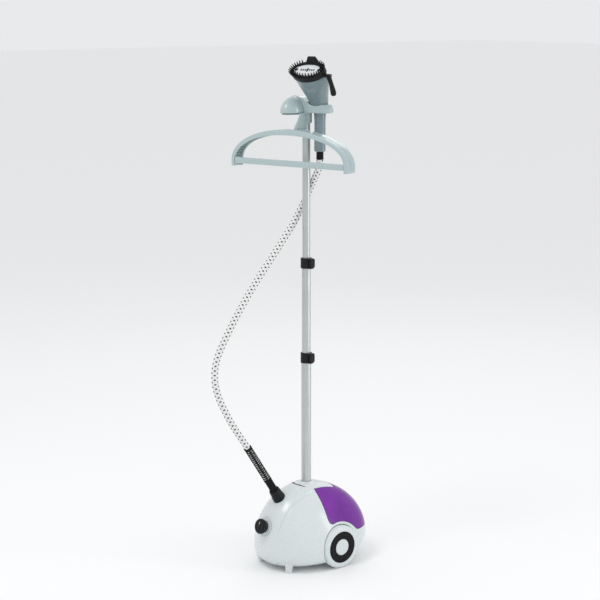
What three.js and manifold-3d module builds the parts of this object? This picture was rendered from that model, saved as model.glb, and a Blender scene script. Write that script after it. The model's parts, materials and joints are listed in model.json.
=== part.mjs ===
// Upright garment steamer on a telescopic pole, in millimetres, +Z up, front towards -Y.
// Everything is modelled round the pole's axis at x = 0, y = 0, and the whole group is then
// shifted so that its origin is under the middle of the machine, on the floor.
import * as THREE from 'three';
import { mergeVertices } from 'three/addons/utils/BufferGeometryUtils.js';
import Module from 'manifold-3d';

const wasm = await Module();
wasm.setup();

// ---------------------------------------------------------------- driving dimensions
const GAP = 0.3;                 // clearance between pieces that touch
const SLIVER = 0.03;             // slivers thinner than this are dropped from cut pieces
const FLOOR_SHIFT = [-17.5, -1, 0];   // moves the pole's axis off the middle of the machine

const BASE = {
  bottom: 17, top: 230, seam: 24, wall: 3,
};
// Each way the body bulges: how far out, at what height, the dome's rise and power over that, and
// how much and how sharply the underside tucks in.
const FRONT = { size: 159, belly: 75, rise: 160, power: 2, tuck: 0.35, bend: 3.9 };
const REAR = { size: 180, belly: 85, rise: 147, power: 1.95, tuck: 0.82, bend: 2.8 };
const SIDE = { size: 129, belly: 60, rise: 176, power: 1.7, tuck: 1, bend: 5 };
const POLE = {
  lower: { outer: 14, inner: 13, from: 120, to: 598 },
  middle: { outer: 12.5, inner: 11.6, from: 426, to: 871 },
  upper: { outer: 11, inner: 10.1, from: 712, to: 1290 },
};
const CLAMP = { height: 29, ringRadius: 16.2, lowerZ: 585, upperZ: 858 };
const HEAD_TURN = THREE.MathUtils.degToRad(15);
const HEAD = { floor: 1296, height: 45, hoodReach: 55, hoodHalf: 31.5, hoodX: -29.5, rimY: -15 };
const FORK = { x: 37.5, y: 12.5, top: 1320, clearance: 1.2 };
const HANGER = {
  half: 199, front: -88, rear: -47, spring: 1160, tip: 1143, rise: 93,
  power: 2.05, windowPower: 2.2, side: 12, crown: 15.5, barLow: 1151.5, barHigh: 1168.5,
};
const GLAND = { x: -60, y: 176, z: 58 };
const WHEEL = { radius: 62, y: 28, z: 62, inner: 106, outer: 131, ringOuter: 45.5, ringInner: 24 };
const ARCH_RADIUS = 64.5;
const LEVELS = [17, 27, 39, 58, 89, 118, 146, 172, 195, 213, 224, 230];   // heights the body is drawn at
const TANK = {
  frontY: -5, lobeZ: 130, archY: 30, archZ: 54, archRadius: 79, rearFloor: 97,
  core: 41, coreRear: 72, wall: 2.4,
};
const HOSE_RADIUS = 9.5;
const NET = { radius: 11.4, from: 77.3, to: 207 };
const FOOT = { x: 66, y: -116 };
const HOSE_LEAN = THREE.MathUtils.degToRad(33.8);
const HOSE_EXIT = new THREE.Vector3(0, -97, 198);
const KNOB = { at: new THREE.Vector3(0, -151.5, 127), tilt: THREE.MathUtils.degToRad(15) };
const MOUTH_TILT = THREE.MathUtils.degToRad(45);
const MOUTH = { y: -59.5, z: 1416, half: 54.5, depth: 33.3, rim: 16 };
const STEAM_PLATE = { half: 46.5, depth: 20.5 };
const LEVER = { x: 65.3, z: 1401, front: -55.5, rear: -45.5, ear: 2.2 };   // in the handset's frame
const BRISTLES = 36;

// Centreline of the free steam hose, from the end of its net sleeve up to the handset's cuff.
const HOSE_ROUTE = [
  [0, -212.9, 371.1], [-1.5, -225.5, 390], [-7, -241, 415], [-16, -261, 453], [-27, -276, 491],
  [-36, -285, 521], [-43, -289, 551], [-48, -288, 582], [-51, -281, 611], [-52, -269, 639],
  [-51, -248, 677], [-50, -216, 727], [-48, -179, 780], [-46, -139, 832], [-43, -98, 882],
  [-39, -53, 938], [-34, -16, 988], [-30, 1, 1019], [-24, 12, 1044], [-15, 19, 1069],
  [-3, 22.4, 1093], [11, 23.2, 1115], [23, 22.8, 1133], [30.5, 22, 1147], [33, 21.8, 1158],
  [33, 21.8, 1165.6],
];

// ---------------------------------------------------------------- materials
const material = (color, roughness, metalness = 0, opacity = 1) =>
  new THREE.MeshStandardMaterial({ color, roughness, metalness, opacity, transparent: opacity < 1 });
const WHITE = () => material(0xe9eef0, 0.25);
const GREY_BLUE = () => material(0x8fa1a8, 0.3);
const DARK_BLUE = () => material(0x66777f, 0.35);
const BLACK = () => material(0x17181a, 0.5);
const PURPLE = () => material(0x4a1a78, 0.15, 0, 0.85);
const ALUMINIUM = () => material(0xbfc3c4, 0.35, 0.9);
const STEEL = () => material(0x9a9c9e, 0.3, 1);
const RUBBER = () => material(0x1c1c1d, 0.8);

// ---------------------------------------------------------------- solids and placing
const machine = new THREE.Group();
machine.position.set(...FLOOR_SHIFT);

// A closed three.js geometry as a manifold solid: shared vertices merged, slivers dropped.
function solid(geometry) {
  const bare = geometry.index ? geometry.toNonIndexed() : geometry.clone();
  for (const name of Object.keys(bare.attributes)) {
    if (name !== 'position') bare.deleteAttribute(name);
  }
  const merged = mergeVertices(bare, 1e-4);
  const index = merged.index.array;
  const kept = [];
  for (let i = 0; i < index.length; i += 3) {
    const [a, b, c] = [index[i], index[i + 1], index[i + 2]];
    if (a !== b && b !== c && c !== a) kept.push(a, b, c);
  }
  return new wasm.Manifold(new wasm.Mesh({
    numProp: 3,
    vertProperties: new Float32Array(merged.attributes.position.array),
    triVerts: new Uint32Array(kept),
  }));
}

const cut = (body, ...tools) => tools.reduce((left, tool) => left.subtract(tool), body);
const join = (body, ...more) => more.reduce((sum, next) => sum.add(next), body);

function add(name, shape, look, parent = machine) {
  const mesh = shape.simplify(SLIVER).getMesh();
  const geometry = new THREE.BufferGeometry();
  geometry.setAttribute('position', new THREE.BufferAttribute(mesh.vertProperties, 3));
  geometry.setIndex(new THREE.BufferAttribute(mesh.triVerts, 1));
  geometry.computeVertexNormals();
  const part = new THREE.Mesh(geometry, look);
  part.name = name;
  parent.add(part);
}

// Upright rod or cone from z = low to z = high, centred on (x, y).
function rod(radius, low, high, { x = 0, y = 0, topRadius = radius, sides = 24 } = {}) {
  const geometry = new THREE.CylinderGeometry(topRadius, radius, high - low, sides);
  geometry.rotateX(Math.PI / 2).translate(x, y, (low + high) / 2);
  return solid(geometry);
}

// Rod along X between two x values.
function crossRod(radius, from, to, y, z, sides = 28) {
  const geometry = new THREE.CylinderGeometry(radius, radius, to - from, sides);
  geometry.rotateZ(Math.PI / 2).translate((from + to) / 2, y, z);
  return solid(geometry);
}

// Box between two corners.
function box(low, high) {
  const size = high.map((value, i) => value - low[i]);
  const geometry = new THREE.BoxGeometry(...size);
  geometry.translate(...low.map((value, i) => value + size[i] / 2));
  return solid(geometry);
}

// Turned piece: profile of [radius, height] pairs, spun round +Z.
function turned(profile, sides = 24) {
  const points = profile.map(([radius, height]) => new THREE.Vector2(radius, height));
  const geometry = new THREE.LatheGeometry(points, sides);
  geometry.rotateX(Math.PI / 2);
  const body = solid(geometry);
  return body.volume() < 0 ? solid(flipped(geometry)) : body;
}

function flipped(geometry) {
  const turnedOver = geometry.toNonIndexed();
  const position = turnedOver.attributes.position;
  const a = new THREE.Vector3();
  const b = new THREE.Vector3();
  for (let i = 0; i < position.count; i += 3) {
    a.fromBufferAttribute(position, i);
    b.fromBufferAttribute(position, i + 1);
    position.setXYZ(i, b.x, b.y, b.z);
    position.setXYZ(i + 1, a.x, a.y, a.z);
  }
  return turnedOver;
}

// Flat outline of [a, b] pairs pushed from one depth to another: "front" outlines lie in X-Z and
// run along Y, "side" outlines lie in Y-Z and run along X, "plan" outlines run along Z.
function plate(outline, from, to, view) {
  const shape = new THREE.Shape(outline.map(([a, b]) => new THREE.Vector2(a, b)));
  const geometry = new THREE.ExtrudeGeometry(shape, { depth: to - from, bevelEnabled: false });
  if (view === 'plan') geometry.translate(0, 0, from);
  if (view === 'front') geometry.rotateX(Math.PI / 2).translate(0, to, 0);
  if (view === 'side') geometry.rotateZ(Math.PI / 2).rotateY(Math.PI / 2).translate(from, 0, 0);
  return solid(geometry);
}

// Solid skinned over closed rings of points, each anticlockwise seen from the last ring's side.
function loft(rings) {
  const count = rings[0].length;
  const centre = (ring) => ring.reduce((sum, p) => sum.add(p), new THREE.Vector3()).divideScalar(count);
  const corners = [];
  for (let i = 0; i + 1 < rings.length; i += 1) {
    for (let j = 0; j < count; j += 1) {
      const k = (j + 1) % count;
      corners.push(rings[i][j], rings[i][k], rings[i + 1][k]);
      corners.push(rings[i][j], rings[i + 1][k], rings[i + 1][j]);
    }
  }
  const [first, last] = [rings[0], rings[rings.length - 1]];
  const [low, high] = [centre(first), centre(last)];
  for (let j = 0; j < count; j += 1) {
    const k = (j + 1) % count;
    corners.push(low, first[k], first[j], high, last[j], last[k]);
  }
  return solid(new THREE.BufferGeometry().setFromPoints(corners));
}

// Tube or rod along a curve.
function swept(points, radius, { steps = 24, sides = 8 } = {}) {
  const curve = new THREE.CatmullRomCurve3(points.map((p) => new THREE.Vector3(...p)));
  const section = new THREE.Shape();
  section.absarc(0, 0, radius, 0, Math.PI * 2);
  const ring = new THREE.Shape(section.getSpacedPoints(sides).slice(0, sides));
  return solid(new THREE.ExtrudeGeometry(ring, { steps, extrudePath: curve, bevelEnabled: false }));
}

const signedPower = (value, power) => Math.sign(value) * Math.abs(value) ** power;
const degrees = (value) => THREE.MathUtils.degToRad(value);

// ---------------------------------------------------------------- base body
// How far the body reaches at height z: an ellipse-like dome over the belly line, and a softer
// tuck-in under it.
function reach(z, { size, belly, rise, power, tuck, bend }) {
  if (z >= belly) return size * (1 - ((z - belly) / rise) ** power) ** (1 / power);
  return size * (1 - tuck * ((belly - z) / belly) ** bend);
}

function bodyRing(z, inset, count) {
  const front = reach(z, FRONT) - inset;
  const rear = reach(z, REAR) - inset;
  const side = reach(z, SIDE) - inset;
  const ring = [];
  for (let i = 0; i < count; i += 1) {
    const angle = (i / count) * Math.PI * 2;
    const [c, s] = [Math.cos(angle), Math.sin(angle)];
    const power = s > 0 ? 2 / 2.7 : 2 / 2.1;
    ring.push(new THREE.Vector3(side * signedPower(c, power),
      (s > 0 ? rear : front) * signedPower(s, power), z));
  }
  return ring;
}

function bodySolid(inset, count = 32) {
  const rings = LEVELS.map((z) => {
    const ring = bodyRing(z, inset, count);
    const squeeze = 1 - (2 * inset) / (BASE.top - BASE.bottom);
    const middle = (BASE.top + BASE.bottom) / 2;
    ring.forEach((p) => { p.z = middle + (p.z - middle) * squeeze; });
    return ring;
  });
  return loft(rings);
}

// Everything that belongs to the tank's bay, grown by a margin: the rear of the body above the
// wheel arches, less a core round the pole.
function tankSpace(margin) {
  const { frontY, lobeZ, archY, archZ, archRadius, rearFloor, core, coreRear } = TANK;
  const front = frontY - margin;
  const outline = [[front, 260], [front, lobeZ + 20 - margin], [front + 1.5, lobeZ + 10 - margin],
    [front + 6, lobeZ + 3.5 - margin], [front + 14, lobeZ - margin]];
  for (let angle = 98; angle >= 36; angle -= 6.2) {
    const [c, s] = [Math.cos(degrees(angle)), Math.sin(degrees(angle))];
    outline.push([archY + (archRadius - margin) * c, archZ + (archRadius - margin) * s]);
  }
  outline.push([104, rearFloor + 0.5 - margin], [112, rearFloor - margin]);
  outline.push([220, rearFloor - margin], [220, 260]);
  const half = core - margin;
  const rear = coreRear - margin;
  const coreOutline = [[-half, -60], [half, -60], [half, rear - 8], [half - 2.4, rear - 2.4],
    [half - 8, rear], [8 - half, rear], [2.4 - half, rear - 2.4], [-half, rear - 8]];
  return cut(plate(outline, -160, 160, 'side'), plate(coreOutline, 0, 280, 'plan'));
}

// The two wheel arches as rods, left and right, grown by a margin.
function archPair(margin) {
  const start = WHEEL.inner - 2 - margin;
  const radius = ARCH_RADIUS + margin;
  return [crossRod(radius, -160, -start, WHEEL.y, WHEEL.z), crossRod(radius, start, 160, WHEEL.y, WHEEL.z)];
}

function buildBase() {
  const outside = bodySolid(0);
  const inside = bodySolid(BASE.wall);
  const split = box([-200, -200, 0], [200, 220, BASE.seam]);
  const arches = archPair(0);
  const archCups = archPair(2.5);
  const axleHole = crossRod(4.4, -150, 150, WHEEL.y, WHEEL.z, 20);

  // Upper shell, with its wheel arches, an arc slot in front of the pole and holes for what
  // passes through it.
  const hollow = cut(inside, ...archCups);
  const hoseHole = hoseAxisPiece([[0, -30], [18.9, -30], [18.9, 20], [0, 20]]);
  const poleHole = rod(15, 200, 260);
  const knobHole = knobPiece([[0, -16], [4.2, -16], [4.2, 12], [0, 12]], 20);
  const slot = arcSlot(48, 2.6, 54, 218);
  const glandHole = backwards(rod(7, -15, 15), GLAND.y);
  const glandSeat = backwards(rod(9.4, -6, 6.5), GLAND.y);
  const shell = cut(outside, hollow, split, ...arches, axleHole, tankSpace(0.5),
    hoseHole, poleHole, knobHole, slot, glandHole, glandSeat);
  add('base_shell', shell, WHITE());

  // Bottom pan, closed underneath, standing inside the shell's lower edge.
  const low = box([-200, -200, 0], [200, 220, BASE.seam - GAP]);
  const pan = cut(outside.intersect(low), cut(inside, box([-200, -200, 0], [200, 220, 20])),
    ...arches, tankSpace(0.5));
  add('base_pan', pan, WHITE());

  // Bay that lines the space under and round the tank.
  const liner = cut(bodySolid(BASE.wall + GAP).intersect(tankSpace(3)), tankSpace(0.5),
    rod(19, 60, 120, { y: 112 }), ...archCups);
  add('tank_bay', liner, WHITE());
}

// Turned piece on the hose's leaning axis: height 0 is on the body's surface.
function hoseAxisPiece(profile, sides = 20) {
  const lean = new THREE.Matrix4().makeRotationX(HOSE_LEAN);
  const put = new THREE.Matrix4().setPosition(HOSE_EXIT);
  return turned(profile, sides).transform(put.multiply(lean).elements);
}

// Turned piece on the knob's axis: height 0 is on the body's surface, outwards is up.
function knobPiece(profile, sides = 24) {
  const lean = new THREE.Matrix4().makeRotationX(Math.PI / 2 - KNOB.tilt);
  const put = new THREE.Matrix4().setPosition(KNOB.at);
  return turned(profile, sides).transform(put.multiply(lean).elements);
}

// Groove along an arc of a given radius, centred on straight ahead of the pole.
function arcSlot(radius, width, halfAngle, floor) {
  const outline = [];
  const onArc = (r, a) => [r * Math.sin(degrees(a)), -r * Math.cos(degrees(a))];
  for (let a = -halfAngle; a <= halfAngle; a += 9) outline.push(onArc(radius + width / 2, a));
  for (let a = halfAngle; a >= -halfAngle; a -= 9) outline.push(onArc(radius - width / 2, a));
  return plate(outline, floor, 260, 'plan');
}

function buildTank() {
  const outer = bodySolid(0).intersect(tankSpace(0));
  const hollow = bodySolid(TANK.wall).intersect(tankSpace(-TANK.wall));
  const mouth = rod(12, 60, 130, { y: 112, sides: 24 });
  add('water_tank', cut(outer, hollow, mouth), PURPLE());

  const capProfile = [[0, 82], [17, 82], [17, 95.4], [8.3, 95.4], [8.3, 88], [3.4, 88], [3.4, 84.6],
    [0, 84.6]];
  const cap = cut(turned(capProfile, 28), rod(2.6, 70, 100, { sides: 16 })).translate(0, 112, 0);
  add('tank_cap', cap, BLACK());
  const plunger = turned([[0, 79], [2.2, 79], [2.2, 88.4], [6.5, 88.4], [6.5, 90.4], [2, 90.4],
    [2, 97], [0, 97]], 16);
  add('valve_plunger', plunger.translate(0, 112, 0), STEEL());
  const seat = turned([[0, 60], [15, 60], [15, 76], [12, 76], [12, 66], [4, 66], [4, 62],
    [0, 62]], 28);
  const outlet = rod(4.6, 52, 62.5, { sides: 16 });
  add('valve_seat', join(seat, outlet).translate(0, 112, 0), WHITE());
}

function buildBoiler() {
  const body = turned([[0, 30], [30, 30], [40, 36], [40, 56], [46, 56], [46, 62], [40, 62], [38, 78],
    [26, 86], [6, 86], [6, 94], [0, 94]], 24).translate(0, -74, 0);
  add('boiler', body, ALUMINIUM());
  const plateShape = box([-52, -122, 64.3], [52, -26, 66.3]);
  const opening = rod(41, 60, 70, { y: -74 });
  const corners = [[-48, -106], [-48, -48], [48, -106], [48, -48]];
  const legs = corners.map(([x, y]) => rod(3, 20.3, 64.5, { x, y, sides: 8 }));
  add('boiler_bracket', join(cut(plateShape, opening), ...legs), STEEL());
  add('thermostat', rod(7, 86.3, 94, { x: 15, y: -90, sides: 20 }), BLACK());
  const socketEnd = HOSE_EXIT.clone().add(hoseStep(-34.5));
  const steamRun = [[0, -74, 94.4], [0, -74, 112], [0, -76, 140], socketEnd.toArray()];
  add('steam_pipe', swept(steamRun, 5, { steps: 12 }), RUBBER());
  const feedRun = [[0, 112, 51.6], [0, 111.7, 45], [0, 100, 35], [0, 40, 32], [0, -10, 36],
    [0, -26, 41], [0, -33, 41.4]];
  add('feed_pipe', swept(feedRun, 4, { steps: 18 }), RUBBER());
}

// A step along the hose's axis from the body's surface.
function hoseStep(distance) {
  return new THREE.Vector3(0, -Math.sin(HOSE_LEAN), Math.cos(HOSE_LEAN)).multiplyScalar(distance);
}

// A piece made on +Z, laid so that +Z points to the front, in line with the mains gland.
function backwards(piece, y) {
  return piece.transform(new THREE.Matrix4().makeRotationX(Math.PI / 2).elements)
    .translate(GLAND.x, y, GLAND.z);
}

function buildControls() {
  const skirt = [[0, 2.2], [17, 2.2], [18, 6], [21.5, 12.5], [21.5, 18], [19.6, 21.2], [16, 22.4],
    [0, 22.4]];
  const grip = [[0, 20], [15.4, 20], [14.6, 24], [0, 24]];
  const recess = knobPiece([[0, 0], [3.4, 0], [3.4, 10], [0, 10]], 20);
  const flanks = [-1, 1].map((side) => {
    const flank = box([side > 0 ? 5 : -30, -30, 17], [side > 0 ? 30 : -5, 30, 40]);
    return flank.transform(knobMatrix().elements);
  });
  const bar = cut(knobPiece(grip), ...flanks);
  add('knob', cut(join(knobPiece(skirt), bar), recess), BLACK());
  add('knob_spindle', knobPiece([[0, -12], [3, -12], [3, 9.6], [0, 9.6]], 20), STEEL());
  const switchBody = box([-15, -14, -34], [15, 14, -12.3]).transform(knobMatrix().elements);
  add('rotary_switch', switchBody, BLACK());
  const gland = turned([[4, 0], [9, 0], [9, 3], [6.6, 3], [6.6, 12], [4, 12], [4, 0]]);
  add('mains_gland', backwards(gland, GLAND.y - 3), BLACK());
}

function knobMatrix() {
  const lean = new THREE.Matrix4().makeRotationX(Math.PI / 2 - KNOB.tilt);
  return new THREE.Matrix4().setPosition(KNOB.at).multiply(lean);
}

function buildWheels() {
  add('wheel_axle', crossRod(4, -124, 124, WHEEL.y, WHEEL.z, 20), STEEL());
  for (const [name, side] of [['left', -1], ['right', 1]]) {
    const { inner, outer, radius, ringOuter, ringInner } = WHEEL;
    const disc = [[4.3, inner], [radius - 3, inner], [radius, inner + 4], [radius, outer - 6],
      [radius - 4, outer - 1.6], [ringOuter + 1, outer], [ringOuter + GAP, outer - 4],
      [ringInner - GAP, outer - 4], [ringInner - GAP, outer - 7], [4.3, outer - 7], [4.3, inner]];
    const ring = [[ringInner, outer - 3.7], [ringOuter, outer - 3.7], [ringOuter, outer - 1],
      [ringOuter - 2, outer], [ringInner + 2, outer], [ringInner, outer - 1],
      [ringInner, outer - 3.7]];
    const capRadius = ringInner - 2 * GAP;
    const cap = [[0, outer - 6.7], [capRadius, outer - 6.7], [capRadius, outer - 1.2],
      [capRadius - 2.4, outer], [0, outer]];
    const aim = new THREE.Matrix4().makeRotationY((side * Math.PI) / 2);
    const put = new THREE.Matrix4().setPosition(0, WHEEL.y, WHEEL.z);
    const place = put.multiply(aim).elements;
    add(`wheel_${name}`, turned(disc, 32).transform(place), WHITE());
    add(`wheel_ring_${name}`, turned(ring, 32).transform(place), RUBBER());
    add(`hub_cap_${name}`, turned(cap, 24).transform(place), WHITE());
  }
}

function buildFeet() {
  for (const [name, side] of [['left', -1], ['right', 1]]) {
    const post = turned([[0, 0], [7, 0], [8.6, 2], [15, 34], [0, 34]], 24);
    const foot = post.translate(side * FOOT.x, FOOT.y, 0);
    add(`foot_${name}`, cut(foot, bodySolid(-GAP)), WHITE());
  }
}

// ---------------------------------------------------------------- pole
function tube({ outer, inner, from, to }, sides = 24) {
  return cut(rod(outer, from, to, { sides }), rod(inner, from - 1, to + 1, { sides }));
}

function buildPole() {
  const sleeve = [[0, 108], [24, 108], [24, 112], [17.5, 112], [17.5, 220], [14.4, 220],
    [14.4, 119.6], [0, 119.6]];
  add('pole_socket', cut(turned(sleeve), rod(11, 100, 130)), WHITE());
  const trim = turned([[14.4, 230.4], [24, 230.4], [23, 232.6], [17, 235], [14.4, 235], [14.4, 230.4]], 28);
  add('pole_trim', trim, WHITE());
  add('pole_lower', tube(POLE.lower), ALUMINIUM());
  add('pole_middle', tube(POLE.middle), ALUMINIUM());
  add('pole_upper', tube(POLE.upper), ALUMINIUM());
  const { middle, upper } = POLE;
  const middleBush = { outer: 12.75, inner: 11.2, from: middle.from - 8, to: middle.from - GAP };
  const upperBush = { outer: 11.35, inner: 9.2, from: upper.from - 8, to: upper.from - GAP };
  add('middle_bush', tube(middleBush), BLACK());
  add('upper_bush', tube(upperBush), BLACK());
}

// Collar with a flip lever on its right, gripping the outer tube below and the inner one above.
function buildClamp(name, low, outer, inner, parent) {
  const high = low + CLAMP.height;
  const split = low + 13.3;
  const ring = rod(CLAMP.ringRadius, low, high);
  const lug = box([12, -7, low], [17.5, 4, high]);
  const earLow = box([12, -11, low], [23.4, 4, low + 2.4]);
  const earHigh = box([12, -11, high - 2.4], [23.4, 4, high]);
  const bores = [rod(outer + GAP, low - 1, split), rod(inner + GAP, split - 1, high + 1)];
  const pinHole = rod(1.7, low - 1, high + 1, { x: 20.4, y: -8, sides: 16 });
  add(`${name}_body`, cut(join(ring, lug, earLow, earHigh), ...bores, pinHole), BLACK(), parent);
  const leverShape = [[18, -10], [22.4, -11], [23.6, -9], [23.6, 8], [22, 11], [18, 11]];
  const lever = cut(plate(leverShape, low + 2.8, high - 2.8, 'plan'), pinHole);
  add(`${name}_lever`, lever, BLACK(), parent);
  add(`${name}_pin`, rod(1.35, low + 0.4, high - 0.4, { x: 20.4, y: -8, sides: 14 }), STEEL(), parent);
}

// ---------------------------------------------------------------- head and hanger
// Half or whole ellipsoid above the head's floor, centred on the rim.
function dome(half, depth, height, inset = 0) {
  const geometry = new THREE.SphereGeometry(1, 24, 14);
  geometry.scale(half - inset, depth - inset, height - inset);
  geometry.translate(HEAD.hoodX, HEAD.rimY, HEAD.floor);
  return solid(geometry);
}

function ellipseRing(x, y, z, half, depth, tilt = 0, count = 28) {
  const ring = [];
  for (let i = 0; i < count; i += 1) {
    const angle = (-i / count) * Math.PI * 2;
    const along = depth * Math.sin(angle);
    const across = half * Math.cos(angle);
    ring.push(new THREE.Vector3(x + across, y - along * Math.cos(tilt), z - along * Math.sin(tilt)));
  }
  return ring;
}

function buildHead(parent) {
  const { floor, rimY, height, hoodReach, hoodHalf } = HEAD;
  const behindRim = box([-120, rimY + GAP, floor], [120, 80, floor + 60]);
  const rearDome = dome(hoodHalf + 1.5, 38, height + 1.5).intersect(behindRim);
  const forkLevels = [[floor, 41, 28], [1308, 40, 27], [FORK.top, 35, 23.5]];
  const forkOuter = loft(forkLevels.map(([z, half, depth]) => ellipseRing(FORK.x, FORK.y, z, half, depth)));
  const saddleLine = [[-30, floor], [40, floor], [40, 1315], [20, 1319.5], [6, 1327], [-6, 1337],
    [-20, 1341], [-30, 1341]];
  const bridge = plate(saddleLine, rimY + GAP, 14, 'front');
  const forkHole = handsetSolid(-FORK.clearance, 0, HANDSET_SECTIONS.length).translate(FORK.x, FORK.y, 0);
  const forkSlot = box([FORK.x - 12, FORK.y, floor - 5], [FORK.x + 12, 70, floor + 60]);
  const overFork = box([8, -60, FORK.top], [100, 80, floor + 60]);
  const socket = rod(16, 1267, floor + 4);
  const bore = rod(POLE.upper.outer + 0.4, 1260, 1291);
  const hoodRoom = box([-120, -120, floor - GAP], [3, rimY + GAP, floor + 60]);
  const saddle = join(rearDome, forkOuter, cut(bridge, overFork), socket);
  const body = cut(saddle, forkHole, forkSlot, bore, hoodRoom);
  add('head_body', body, GREY_BLUE(), parent);

  const beforeRim = box([-120, -120, floor], [120, rimY - GAP, floor + 60]);
  const hoodOuter = dome(hoodHalf, hoodReach, height).intersect(beforeRim);
  const hoodInner = dome(hoodHalf, hoodReach, height, 2.6);
  add('head_hood', cut(hoodOuter, hoodInner), GREY_BLUE(), parent);
  const under = [];
  for (let a = 180; a <= 360; a += 10) {
    under.push([HEAD.hoodX + 27 * Math.cos(degrees(a)), rimY - 2.5 + 45 * Math.sin(degrees(a))]);
  }
  add('hood_cover', plate(under, floor - 4.4, floor - GAP, 'plan'), DARK_BLUE(), parent);
}

function arcOutline(half, rise, power, tipZ) {
  const points = [[-half, tipZ]];
  for (let a = 180; a >= 0; a -= 7.5) {
    const across = half * signedPower(Math.cos(degrees(a)), 2 / power);
    const up = rise * Math.abs(Math.sin(degrees(a))) ** (2 / power);
    points.push([across, HANGER.spring + up]);
  }
  points.push([half, tipZ]);
  return points;
}

function buildHanger(parent) {
  const { half, front, rear, rise, tip, power, windowPower, side, crown, barLow, barHigh } = HANGER;
  const outer = plate(arcOutline(half, rise, power, tip), front, rear, 'front');
  const windowLine = arcOutline(half - side, rise - crown, windowPower, tip - 5);
  const channelLine = arcOutline(half - 3, rise - 4, power, tip - 5);
  const opening = plate(windowLine, front - 5, rear + 5, 'front');
  const channel = plate(channelLine, front + 3, rear - 3, 'front');
  add('hanger_arc', cut(outer, opening, channel), GREY_BLUE(), parent);
  const barEnd = half - side - 4 * GAP;
  add('hanger_bar', box([-barEnd, front, barLow], [barEnd, front + 8, barHigh]), GREY_BLUE(), parent);

  // Stem from under the head to the top of the arc: a web with a rear flange, a foot that stands
  // against the arc's rear face and a pad under the head.
  const top = 1295.6;
  const behindArc = rear + GAP;
  const overArc = HANGER.spring + rise + 2 * GAP;
  const web = plate([[-20, top], [-36, top], [-48, 1275], [-66, overArc], [behindArc, overArc],
    [behindArc, 1240], [-17, 1240], [-17, top]], 4, 9, 'side');
  const flange = box([1.7, -20, 1240], [11, -16.6, top]);
  const foot = box([-6, behindArc, 1240], [19, -16.6, 1252]);
  const pad = box([-1, -34, 1292], [13, -16.6, top]);
  add('hanger_neck', join(web, flange, foot, pad), GREY_BLUE(), parent);
}

// ---------------------------------------------------------------- handset
// Sections up the handset: y and z of the middle, half width, half depth, tilt towards the front.
const HANDSET_SECTIONS = [
  [0, 1189, 15, 15, 0], [0, 1192, 16, 16, 0], [0, 1240, 15.6, 15.8, 0], [0, 1284, 16, 16.4, 0],
  [0, 1300, 19, 18, 2], [-3, 1318, 25.5, 21.5, 7], [-11.5, 1342, 32, 26, 16], [-21.5, 1365, 41.5, 30, 28],
  [-31, 1384, 49.5, 32, 38], [-48, 1404.4, 52, 31.5, 45],
];

function handsetSolid(inset, from, to) {
  return loft(HANDSET_SECTIONS.slice(from, to).map(([y, z, half, depth, tilt]) =>
    ellipseRing(0, y, z, half - inset, depth - inset, degrees(tilt), 28)));
}

// Moves a piece made round the origin, with +Z outwards, onto the mouth.
const mouthMatrix = () => new THREE.Matrix4().setPosition(0, MOUTH.y, MOUTH.z)
  .multiply(new THREE.Matrix4().makeRotationX(MOUTH_TILT));

function mouthDisc(half, depth, low, high, taper = 0, count = 32) {
  const ring = (z, shrink) => ellipseRing(0, 0, z, half - shrink, depth - shrink, 0, count);
  return loft([ring(low, 0), ring(high, taper)]);
}

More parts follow.
